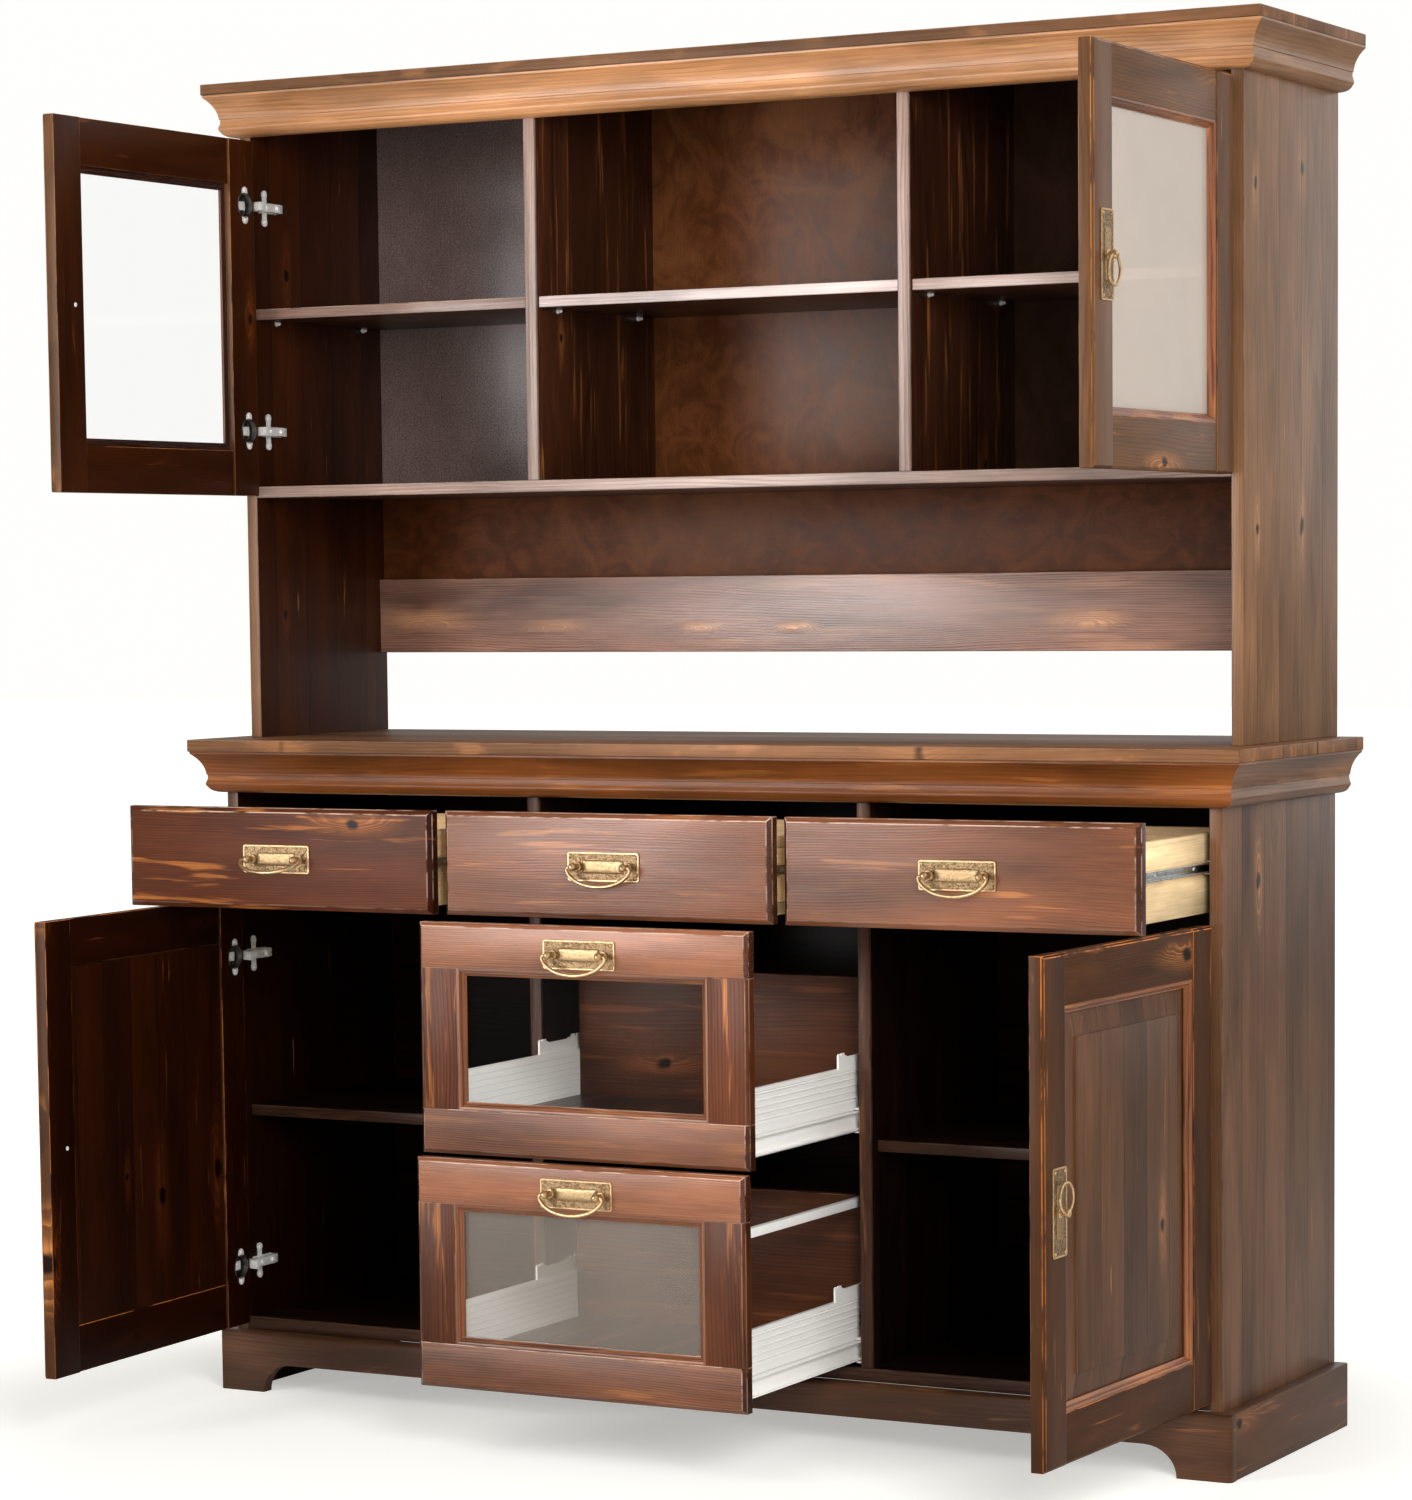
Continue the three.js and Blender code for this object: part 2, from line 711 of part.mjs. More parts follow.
// A frame in the XZ plane from the corner low to the corner high, with its outer face at faceY and facing -Y.
function framedFront(low, high, faceY, railWidth, bevel, longStiles) {
  const backY = faceY + frontThickness;
  const slab = loft([
    rectangle(low, high, faceY, bevel),
    rectangle(low, high, faceY + bevel),
    rectangle(low, high, backY),
  ]);
  const openLow = [low[0] + stileWidth, low[1] + railWidth];
  const openHigh = [high[0] - stileWidth, high[1] - railWidth];
  const hole = loft([
    rectangle(openLow, openHigh, faceY - overrun),
    rectangle(openLow, openHigh, faceY + beadStep),
    rectangle(openLow, openHigh, faceY + beadDepth, beadWidth),
    rectangle(openLow, openHigh, backY + overrun, beadWidth),
  ]);
  const rebateInset = beadWidth - rebateWidth;
  const rebate = loft([
    rectangle(openLow, openHigh, backY - rebateDepth, rebateInset),
    rectangle(openLow, openHigh, backY + overrun, rebateInset),
  ]);
  const railCuts = longStiles
    ? [
        block([openLow[0], faceY - overrun, low[1] - overrun], [openHigh[0], faceY + stileStep, high[1] + overrun]),
        block([openLow[0], backY - railStep, low[1] - overrun], [openHigh[0], backY + overrun, high[1] + overrun]),
      ]
    : [
        block([low[0] - overrun, faceY - overrun, openLow[1]], [high[0] + overrun, faceY + stileStep, openHigh[1]]),
      ];
  return cut(slab, hole, rebate, ...railCuts);
}

// The place of what a frame holds: its rebate, drawn in by the seat clearance.
function seatOf(low, high, faceY, railWidth) {
  const inset = beadWidth - rebateWidth + seatClearance;
  return {
    low: [low[0] + stileWidth + inset, low[1] + railWidth + inset],
    high: [high[0] - stileWidth - inset, high[1] - railWidth - inset],
    y: faceY + frontThickness - rebateDepth + seatClearance,
  };
}

function pane(low, high, faceY, railWidth) {
  const seat = seatOf(low, high, faceY, railWidth);
  return loft([rectangle(seat.low, seat.high, seat.y), rectangle(seat.low, seat.high, seat.y + glassThickness)]);
}

function raisedPanel(low, high, faceY, railWidth) {
  const seat = seatOf(low, high, faceY, railWidth);
  const throat = rebateWidth - seatClearance + panelEdgeGap;
  return loft([
    rectangle(seat.low, seat.high, seat.y - panelRise, throat + panelMargin),
    rectangle(seat.low, seat.high, seat.y, throat),
    rectangle(seat.low, seat.high, seat.y),
    rectangle(seat.low, seat.high, seat.y + panelTongue),
  ]);
}

// Doors, modelled as left-hand doors about the pin: the door runs to +X and its outer face is towards -Y

const doorFace = pinFromInnerFace - frontThickness;
const doorStart = -pinFromEdge;

function cupFlange(z) {
  const x = doorStart + cupFromEdge;
  const [low, high] = [pinFromInnerFace - flangeThickness, pinFromInnerFace + flangeThickness];
  const ears = block(
    [x - flangeWidth / 2, low, z - flangeHeight / 2],
    [x + flangeWidth / 2, high, z + flangeHeight / 2],
  );
  return [rodAlongY(x, low, high, z, cupRadius + cupRim, roundSides * 2), ears];
}

function cupRecess(z) {
  const floor = pinFromInnerFace - cupDepth;
  const mouth = pinFromInnerFace + flangeThickness + overrun;
  return rodAlongY(doorStart + cupFromEdge, floor, mouth, z, cupRadius, roundSides * 2);
}

function doorFrame(width, height, hingeZs) {
  const frame = framedFront([doorStart, 0], [doorStart + width, height], doorFace, doorRailWidth, frameBevel, true);
  const pull = doorPull().translate(doorStart + width - doorPlateFromEdge, doorFace, height / 2);
  const flanges = hingeZs.flatMap(cupFlange);
  return cut(joined(frame, pull, ...flanges), ...hingeZs.map(cupRecess));
}

function hingeZsOf(height, fromEnd) {
  return [fromEnd, height - fromEnd];
}

// The fixed half of a hinge. Its nose keeps outside the circle that the door's edge sweeps about the pin.
function hingeArm(pin, side, sideFace, z) {
  const inward = -side;
  const rimStart = cupFromEdge - cupRadius - cupRim;
  const rimSweep = Math.hypot(pinFromEdge - rimStart, pinFromInnerFace + flangeThickness);
  const keepOut = Math.max(Math.hypot(pinFromEdge, pinFromInnerFace), rimSweep) + hingeClearance;
  const foot = Math.abs(sideFace - pin.x);
  const mouth = pinFromInnerFace + frontGap;
  const low = foot + mountThickness;
  const noseStart = Math.sqrt(keepOut ** 2 - armNoseDepth ** 2);
  const noseEnd = noseStart + armNoseLength;
  const arcSteps = 6;
  const [from, to] = [Math.acos(low / keepOut), Math.asin(armNoseDepth / keepOut)];
  const chordRadius = keepOut / Math.cos((from - to) / arcSteps / 2);
  const outline = [[low, armReach]];
  for (let step = 0; step <= arcSteps; step += 1) {
    const angle = from + ((to - from) * step) / arcSteps;
    outline.push([chordRadius * Math.cos(angle), chordRadius * Math.sin(angle)]);
  }
  outline.push([noseEnd, armNoseDepth]);
  outline.push([noseEnd, mouth - frontGap / 2]);
  outline.push([low + armThickness, mouth + armThickness / 2]);
  outline.push([low + armThickness, armReach]);
  const shape = new THREE.Shape(outline.map(([p, q]) => new THREE.Vector2(pin.x + inward * p, pin.y + q)));
  const arm = new THREE.ExtrudeGeometry(shape, { depth: armHeight, bevelEnabled: false });
  arm.translate(0, 0, z - armHeight / 2);
  const mountFront = pin.y + mouth + mountFromFront;
  const wings = block(
    [Math.min(sideFace, sideFace + inward * mountThickness), mountFront, z - mountHeight / 2],
    [Math.max(sideFace, sideFace + inward * mountThickness), mountFront + mountWidth, z + mountHeight / 2],
  );
  const spine = block(
    [Math.min(sideFace, sideFace + inward * low), mountFront, z - armHeight / 2],
    [Math.max(sideFace, sideFace + inward * (low + armThickness / 2)), pin.y + armReach, z + armHeight / 2],
  );
  return joined(arm, wings, spine);
}

function buildDoor(parent, door) {
  const { name, side, width, bottom, height, infill, infillMaterial, infillName, angle, ringUp } = door;
  const pin = { x: side * door.pinX, y: door.carcassFront - frontGap - pinFromInnerFace };
  const hingeZs = hingeZsOf(height, door.hingeFromEnd);
  const handed = (geometry) => (side < 0 ? geometry : mirrored(geometry));
  const swing = groupAt(parent, pin.x, pin.y, bottom);
  swing.rotation.z = side * THREE.MathUtils.degToRad(angle);
  const [low, high] = [[doorStart, 0], [doorStart + width, height]];
  addPiece(swing, `${name}_frame`, handed(doorFrame(width, height, hingeZs)), frontWood());
  addPiece(swing, `${name}_${infillName}`, handed(infill(low, high, doorFace, doorRailWidth)), infillMaterial());
  const pivotX = -side * (doorStart + width - doorPlateFromEdge);
  const pivot = groupAt(swing, pivotX, doorFace - ringPostReach, height / 2);
  pivot.rotation.x = ringUp ? Math.PI : 0;
  addPiece(pivot, `${name}_ring`, pullRing(), brass());
  hingeZs.forEach((z, index) => {
    const place = index === 0 ? "lower" : "upper";
    const arm = hingeArm(pin, side, side * door.sideFace, bottom + z);
    addPiece(parent, `${name}_hinge_${place}`, arm, nickel());
  });
}

function buildDoors(parent) {
  const hutchDoor = {
    width: hutchHalf - sideReveal - hutchOuterStart + frontOverlap,
    bottom: worktopTop + hutchBottomHeight + hutchBottomReveal,
    height: corniceUnderside - mouldingDrop - topReveal - worktopTop - hutchBottomHeight - hutchBottomReveal,
    carcassFront: -hutchDepth,
    pinX: hutchHalf - sideReveal - pinFromEdge,
    sideFace: hutchSideFace,
    hingeFromEnd: hutchHingeFromEnd,
    infill: pane,
    infillMaterial: glass,
    infillName: "glass",
    ringUp: false,
  };
  const baseDoor = {
    width: baseHalf - sideReveal - baseOuterStart + frontOverlap,
    bottom: lowFrontsBottom,
    height: lowFrontsTop - lowFrontsBottom,
    carcassFront: -baseDepth,
    pinX: baseHalf - sideReveal - pinFromEdge,
    sideFace: baseSideFace,
    hingeFromEnd: baseHingeFromEnd,
    infill: raisedPanel,
    infillMaterial: frontWood,
    infillName: "panel",
    ringUp: false,
  };
  buildDoor(parent, { ...hutchDoor, name: "hutch_door_left", side: -1, angle: doorAngles.hutchLeft });
  buildDoor(parent, { ...hutchDoor, name: "hutch_door_right", side: 1, angle: doorAngles.hutchRight });
  buildDoor(parent, { ...baseDoor, name: "base_door_left", side: -1, angle: doorAngles.baseLeft });
  buildDoor(parent, { ...baseDoor, name: "base_door_right", side: 1, angle: doorAngles.baseRight, ringUp: true });
}

// Top drawers

function topFront(low, high) {
  const faceY = frontPlane - frontThickness;
  const board = loft([
    rectangle([low, topFrontBottom], [high, topFrontTop], faceY, frontBevel),
    rectangle([low, topFrontBottom], [high, topFrontTop], faceY + frontBevelDepth),
    rectangle([low, topFrontBottom], [high, topFrontTop], frontPlane),
  ]);
  return joined(board, handlePlate().translate((low + high) / 2, faceY, (topFrontBottom + topFrontTop) / 2));
}

function topBox(low, high) {
  const back = frontPlane + topBoxLength;
  const [inLow, inHigh] = [low + topBoxWall, high - topBoxWall];
  const [inFront, inBack] = [frontPlane + topBoxWall, back - topBoxWall];
  const floor = topBoxBottom + drawerBottomRaise + drawerBottomThickness;
  const walls = block([low, frontPlane, topBoxBottom], [high, back, topBoxTop]);
  const room = block([inLow, inFront, floor], [inHigh, inBack, topBoxTop + overrun]);
  const under = block([inLow, inFront, topBoxBottom - overrun], [inHigh, inBack, topBoxBottom + drawerBottomRaise]);
  const bars = [
    runnerBar(low, -1, topRunnerZ, topRunnerHeight, topRunnerWall, topBoxLength),
    runnerBar(high, 1, topRunnerZ, topRunnerHeight, topRunnerWall, topBoxLength),
  ];
  return joined(cut(walls, room, under), ...bars);
}

function buildTopDrawer(parent, name, bay, front, pull, bailAngle) {
  const drawer = groupAt(parent, 0, -pull, 0);
  addPiece(drawer, `${name}_front`, topFront(...front), frontWood());
  addPiece(drawer, `${name}_box`, topBox(bay[0] + runnerGap, bay[1] - runnerGap), paleWood());
  addHandle(drawer, name, (front[0] + front[1]) / 2, (topFrontBottom + topFrontTop) / 2, bailAngle);
}

// Glazed drawers in the middle bay

const glazedFrontHalf = baseMiddleHalf + frontOverlap;

function glazedFront(bottom) {
  const faceY = frontPlane - frontThickness;
  const [low, high] = [[-glazedFrontHalf, bottom], [glazedFrontHalf, bottom + glazedHeight]];
  const frame = framedFront(low, high, faceY, drawerRailWidth, frontBevelDepth, false);
  return joined(frame, handlePlate().translate(0, faceY, high[1] - handleBelowTop));
}

// The handle sits in the middle of the top rail, a little below its bevel.
const handleBelowTop = (drawerRailWidth + frontBevel) / 2 + 2 * plateThickness;

function traySide(side, bottom, withGallery) {
  const outer = side * (baseMiddleHalf - runnerGap);
  const inner = outer - side * traySideThickness;
  const back = frontPlane + trayLength;
  const top = bottom + traySideHeight;
  const [x0, x1] = [Math.min(inner, outer), Math.max(inner, outer)];
  const bracketInner = outer - side * trayBracketThickness;
  const pieces = [
    block([x0, frontPlane, bottom], [x1, back, top]),
    block(
      [Math.min(bracketInner, outer), back - trayBracketLength, top - trayBracketThickness],
      [Math.max(bracketInner, outer), back, top + trayBracketHeight],
    ),
    runnerBar(outer, side, bottom + trayRunnerRise, trayRunnerHeight, trayRunnerWall, trayLength),
  ];
  const railBottom = bottom + galleryAboveTray;
  if (withGallery) pieces.push(block([x0, frontPlane, railBottom], [x1, back, railBottom + galleryHeight]));
  return pieces;
}

function tray(bottom, withGallery) {
  const half = baseMiddleHalf - runnerGap;
  const back = frontPlane + trayLength;
  const backTop = bottom + (withGallery ? galleryAboveTray + galleryHeight : trayBackHeight);
  const floor = block(
    [-half + traySideThickness / 2, frontPlane, bottom + trayBottomThickness / 2],
    [half - traySideThickness / 2, back, bottom + 1.5 * trayBottomThickness],
  );
  const end = block([-half, back - trayBackThickness, bottom], [half, back, backTop]);
  return joined(floor, end, ...traySide(-1, bottom, withGallery), ...traySide(1, bottom, withGallery));
}

function buildGlazedDrawer(parent, name, frontBottom, trayBottom, withGallery, pull, bailAngle) {
  const drawer = groupAt(parent, 0, -pull, 0);
  const faceY = frontPlane - frontThickness;
  const [low, high] = [[-glazedFrontHalf, frontBottom], [glazedFrontHalf, frontBottom + glazedHeight]];
  addPiece(drawer, `${name}_front`, glazedFront(frontBottom), frontWood());
  addPiece(drawer, `${name}_glass`, pane(low, high, faceY, drawerRailWidth), glass());
  addPiece(drawer, `${name}_tray`, tray(trayBottom, withGallery), whiteMetal());
  addHandle(drawer, name, 0, high[1] - handleBelowTop, bailAngle);
}

function buildDrawers(parent) {
  const outerBay = [baseOuterStart, baseSideFace];
  const outerFront = [baseOuterStart - frontOverlap, baseHalf - sideReveal];
  const mirror = ([low, high]) => [-high, -low];
  const middleBay = [-baseMiddleHalf, baseMiddleHalf];
  const middleFront = [-glazedFrontHalf, glazedFrontHalf];
  const upperBottom = lowFrontsBottom + glazedHeight + reveal;
  buildTopDrawer(parent, "top_drawer_left", mirror(outerBay), mirror(outerFront), drawerPulls.left, bailAngles.left);
  buildTopDrawer(parent, "top_drawer_middle", middleBay, middleFront, drawerPulls.middle, bailAngles.middle);
  buildTopDrawer(parent, "top_drawer_right", outerBay, outerFront, drawerPulls.right, bailAngles.right);
  buildGlazedDrawer(
    parent, "glazed_drawer_upper", upperBottom, upperTrayBottom, false, drawerPulls.upper, bailAngles.upper,
  );
  buildGlazedDrawer(
    parent, "glazed_drawer_lower", lowFrontsBottom, lowerTrayBottom, true, drawerPulls.lower, bailAngles.lower,
  );
}

// The whole piece, shifted so that the origin is under the middle of everything at rest

const dresser = new THREE.Group();
buildBase(dresser);
buildHutch(dresser);
buildDoors(dresser);
buildDrawers(dresser);

const extent = new THREE.Box3().setFromObject(dresser, true);
const middle = extent.getCenter(new THREE.Vector3());
dresser.position.set(-middle.x, -middle.y, -extent.min.z);

export default dresser;
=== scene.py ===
"""The looks of a stained pine dresser with its hutch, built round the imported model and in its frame, in metres.
The file follows the furniture as it is put together: carcass, hutch, doors, drawers, then floor and light."""
import json
import math
import random
from collections import namedtuple
from functools import partialmethod

import bmesh
import bpy
from mathutils import Matrix, Vector


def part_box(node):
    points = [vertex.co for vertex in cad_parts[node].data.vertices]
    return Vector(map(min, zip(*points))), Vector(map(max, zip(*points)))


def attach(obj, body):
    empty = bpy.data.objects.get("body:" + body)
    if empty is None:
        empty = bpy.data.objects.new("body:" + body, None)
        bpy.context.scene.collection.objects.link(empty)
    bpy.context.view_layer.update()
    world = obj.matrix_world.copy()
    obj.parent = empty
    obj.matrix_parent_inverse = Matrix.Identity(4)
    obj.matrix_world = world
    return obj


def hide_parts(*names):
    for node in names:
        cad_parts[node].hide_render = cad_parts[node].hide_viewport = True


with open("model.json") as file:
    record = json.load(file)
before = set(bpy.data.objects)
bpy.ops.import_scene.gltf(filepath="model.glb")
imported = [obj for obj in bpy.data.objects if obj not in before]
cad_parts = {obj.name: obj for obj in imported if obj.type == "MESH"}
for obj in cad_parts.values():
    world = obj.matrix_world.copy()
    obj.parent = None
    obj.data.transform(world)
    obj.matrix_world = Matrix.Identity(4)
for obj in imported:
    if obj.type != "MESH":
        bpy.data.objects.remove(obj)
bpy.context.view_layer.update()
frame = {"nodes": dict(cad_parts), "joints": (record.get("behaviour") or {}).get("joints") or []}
joint_at = {j["name"]: Vector(j["pos_m"]) for j in frame["joints"] if "pos_m" in j}
back_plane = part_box("base_back")[1].y

# Camera: it stands to the right of the dresser at chest height and looks a little down,
# with its frame shifted up, as the photograph was taken.
yaw, pitch, roll = 0.5008, -0.0871, -0.0112
ahead = Vector((-math.sin(yaw) * math.cos(pitch), math.cos(yaw) * math.cos(pitch), math.sin(pitch)))
level = Vector((math.cos(yaw), math.sin(yaw), 0))
plumb = level.cross(ahead)
sideways = level * math.cos(roll) + plumb * math.sin(roll)
upwards = plumb * math.cos(roll) - level * math.sin(roll)
camera = bpy.data.objects.new("camera", bpy.data.cameras.new("camera"))
camera.matrix_world = Matrix((sideways, upwards, -ahead)).transposed().to_4x4()
camera.location = (2.8241, -5.1038, 1.1499)
camera.data.lens, camera.data.sensor_width = 105.51, 36
camera.data.shift_x, camera.data.shift_y = 0.0046, 0.1412
bpy.context.scene.collection.objects.link(camera)
bpy.context.scene.camera = camera


# Base cabinet: two sides, two partitions, a bottom, a back and two loose shelves of stained pine.
# The panels are glued up from staves, sanded, and stained walnut so that harder grain stays orange;
# their arrises are eased by hand and rub through a little, and their finish also paints a highlight on arrises that
# face up and shade on those that face sideways and down.
class Wire:
    """A socket that sums can be written with. Each operator adds a Math node to the tree it came from."""

    def __init__(self, bench, socket):
        self.bench, self.socket = bench, socket

    def turn(self, operation, *others):
        return self.bench.add("ShaderNodeMath", dict(enumerate((self, *others))), operation=operation)

    __add__ = __radd__ = partialmethod(turn, "ADD")
    __sub__, __rsub__ = partialmethod(turn, "SUBTRACT"), partialmethod(turn, "MULTIPLY_ADD", -1.0)
    __mul__ = __rmul__ = partialmethod(turn, "MULTIPLY")
    __truediv__, __pow__ = partialmethod(turn, "DIVIDE"), partialmethod(turn, "POWER")

    def rise(self, low, high):
        """0 up to low, 1 from high on, and a smooth slope between; falls instead where low is the larger."""
        spans = {0: self, 1: low, 2: high, 3: 0.0, 4: 1.0}
        return self.bench.add("ShaderNodeMapRange", spans, interpolation_type="SMOOTHSTEP")


class Bench:
    """A node tree under construction."""

    def __init__(self, tree):
        self.tree = tree

    def add(self, kind, sockets=None, out=0, **settings):
        """A node whose settings are set first, and then its sockets, each to a value or a link."""
        node = self.tree.nodes.new(kind)
        for name, value in settings.items():
            setattr(node, name, value)
        for key, value in (sockets or {}).items():
            self.put(node.inputs[key], value)
        return Wire(self, node.outputs[out])

    def put(self, socket, value):
        if isinstance(value, Wire):
            self.tree.links.new(value.socket, socket)
        elif socket.type == "RGBA":
            socket.default_value = (*value, 1.0)
        else:
            socket.default_value = value

    def split(self, vector):
        node = self.add("ShaderNodeSeparateXYZ", {0: vector}).socket.node
        return [Wire(self, output) for output in node.outputs]

    def point(self, x, y, z):
        return self.add("ShaderNodeCombineXYZ", {0: x, 1: y, 2: z})


class Finish(Bench):
    """A material. Its surface is one Principled shader, unless the finish says otherwise."""

    def __init__(self, name):
        self.material = bpy.data.materials.new(name)
        self.material.use_nodes = True
        super().__init__(self.material.node_tree)
        self.surface = self.tree.nodes["Principled BSDF"]

    def dress(self, **sockets):
        for name, value in sockets.items():
            self.put(self.surface.inputs[name.replace("_", " ")], value)
        return self

    def mark(self, name, out):
        return self.add("ShaderNodeAttribute", out=out, attribute_name=name)

    def spot(self):
        return self.add("ShaderNodeTexCoord", out="Object")

    def noise(self, place, detail=3.0, rough=0.5, swirl=0.0, scale=1.0):
        """Cloudy noise at a vector, or at three coordinates."""
        place = self.point(*place) if isinstance(place, tuple) else place
        sockets = {"Vector": place, "Scale": scale, "Detail": detail, "Roughness": rough, "Distortion": swirl}
        return self.add("ShaderNodeTexNoise", sockets)

    def blend(self, share, first, second, how="MIX"):
        return self.add("ShaderNodeMix", {0: share, 6: first, 7: second}, 2, data_type="RGBA", blend_type=how)

    def shade(self, colour, value):
        return self.add("ShaderNodeVectorMath", {0: colour, 3: value}, operation="SCALE")

    def grade(self, value, stops):
        graded = self.add("ShaderNodeValToRGB", {0: value})
        ramp = graded.socket.node.color_ramp.elements
        ramp.remove(ramp[1])
        for place, shade in stops:
            stop = ramp.new(place) if place else ramp[0]
            stop.position, stop.color = place, (shade, shade, shade, 1.0)
        return graded

    def relief(self, height, distance, strength=1.0):
        return self.add("ShaderNodeBump", {"Height": height, "Distance": distance, "Strength": strength})


def pine(name, ground, deep, ember, wear_and_highlight, stave=0.0, streaks=0.5, streak=(4, 45), knots=0.3, rub_and_highlight=0.5, sheen=0.36,
         lines=0.8, cores=1.0, specular=0.5, sparse=0.56, growth=0.0054, hidden=(0.14, 0.065, 0.03), knot_size=1.0,
         knot_room=(2.1, 7.0), eye_level=None):
    """Stained pine. Lines of yearly growth lie round a heart outside the board, so they arch on a flat face."""
    f = Finish(name)
    along, side, through = f.split(f.mark("grain", "Vector"))
    if stave:
        number = (side / stave).turn("FLOOR")
        chance = f.add("ShaderNodeTexWhiteNoise", {"W": number * 1.37}, noise_dimensions="1D")
        within = side - (number + 0.5) * stave
        seam = within.turn("ABSOLUTE").rise(stave / 2 - 0.0011, stave / 2 - 0.0002)
    else:
        chance = f.noise((side * 0.3, 5.0, 1.0), detail=0.0)
        within = side
        seam = chance * 0.0

    knot_row = 0.5 if eye_level is not None else side * knot_room[1]
    cells = {"Vector": f.point(along * knot_room[0], knot_row, 0.0), "Scale": 1.0, "Randomness": 0.5}
    eye = f.add("ShaderNodeTexVoronoi", cells, "Position", voronoi_dimensions="2D")
    luck = f.split(Wire(f, eye.socket.node.outputs["Color"]))
    eye_along, eye_side, _ = f.split(eye)
    shove = f.noise((along * 45, side * 45, through * 45), detail=1.0) - 0.5
    from_along = along - eye_along / knot_room[0] + shove * 0.016
    if eye_level is None:
        from_side = side - eye_side / knot_room[1] + shove * 0.007
    else:
        from_side = f.split(f.spot())[2] - eye_level - (eye_side - 0.5) * 0.03 + shove * 0.007
    is_knot = luck[0].rise(1.0 - knots, 1.01 - knots)
    size = (luck[1] * 0.0055 + 0.0035) * knot_size
    core = ((from_along * from_along * 0.45 + from_side * from_side) ** 0.5) / size
    halo = ((from_along * from_along * 0.045 + from_side * from_side) ** 0.5) / size
    bulge = halo.rise(3.2, 0.3) * is_knot

    sway = f.noise((along * 1.6, side * 5, chance * 30), detail=2.0) - 0.5
    heart = within + sway * 0.045 + (chance - 0.5) * 0.05
    depth = through + 0.014 + f.noise((along * 1.1, chance * 50, 2.0), detail=1.0) * 0.06
    ragged = f.noise((along * 12, side * 150, through * 150), detail=2.0) * 0.0016
    distance = (heart * heart + depth * depth) ** 0.5 + bulge * 0.015 + ragged
    uneven = f.noise((distance * 60, chance * 9, 4.0), detail=1.0) * 0.007
    year = ((distance + uneven) / growth).turn("FRACT")
    line = f.grade(year, [(0.0, 0.0), (0.45, 0.1), (0.86, 1.0), (0.94, 0.8), (1.0, 0.0)])
    line = line * (0.2 + 0.8 * f.noise((along * 2.5, side * 16, chance * 7), detail=2.0).rise(0.36, 0.6))
    fibre = f.noise((along * 9, side * 520, through * 520), detail=2.0, rough=0.6)
    cloud = f.noise((along * 2.2, side * 11, through * 9 + chance * 20), detail=4.0, rough=0.62)
    flame = f.noise((along * streak[0], side * streak[1], through * 14), rough=0.62, swirl=0.3)

    tone = f.blend(line * lines, ground, deep)
    flames = flame.rise(sparse, sparse + 0.1) * (0.5 + 0.5 * line) * streaks
    tone = f.blend(flames, tone, ember)
    tone = f.blend(bulge * (0.2 + 0.8 * line), tone, ember)
    tone = f.blend(core.rise(1.5, 0.6) * is_knot * cores, tone, [c * 0.35 for c in deep])
    tone = f.shade(tone, (0.65 + 0.7 * fibre) * (0.76 + 0.48 * chance) * (2.2 - 2.4 * cloud) * (1.0 - 0.6 * seam))
    # Painted shade: faces marked as shaded are multiplied by the hidden colour, as if they lay in shadow; end grain
    # takes the same tint as its real darker stain.
    tone = f.blend(f.mark("shade_and_end_grain", "Fac") * (1.0 - 0.45 * flames), tone, hidden, "MULTIPLY")
    # Arrises: painted shade darkens those that face sideways and down. The worn colour, real wear in patches, is laid
    # on mostly where they face up, as a painted highlight.
    lit_from_above = f.split(f.add("ShaderNodeNewGeometry", out="Normal"))[2].rise(-0.3, 0.5)
    patchy = f.noise((along * 26, side * 60, through * 60)).rise(0.36, 0.56)
    arris = f.mark("arris", "Fac")
    tone = f.shade(tone, 1.0 - arris * (1.0 - lit_from_above) * 0.45)
    tone = f.blend(arris * patchy * (0.12 + 0.88 * lit_from_above) * rub_and_highlight, tone, wear_and_highlight)
    height = fibre * 0.4 + line * 0.5 - seam - core.rise(1.2, 0.9) * is_knot * 0.5
    f.dress(Base_Color=tone, Roughness=sheen + 0.2 * (fibre - 0.5) + 0.12 * (cloud - 0.5))
    f.dress(Coat_Weight=0.05, Coat_Roughness=0.25, Specular_IOR_Level=specular)
    return f.dress(Normal=f.relief(height, 0.0005, 0.5))


def eased(shape, edges, offset, segments=2, profile=0.6):
    """Rounds these edges over, and marks the faces that this makes as arrises."""
    settings = {"segments": segments, "profile": profile, "affect": "EDGES"}
    return dict.fromkeys(bmesh.ops.bevel(shape, geom=edges, offset=offset, **settings)["faces"], 1.0)


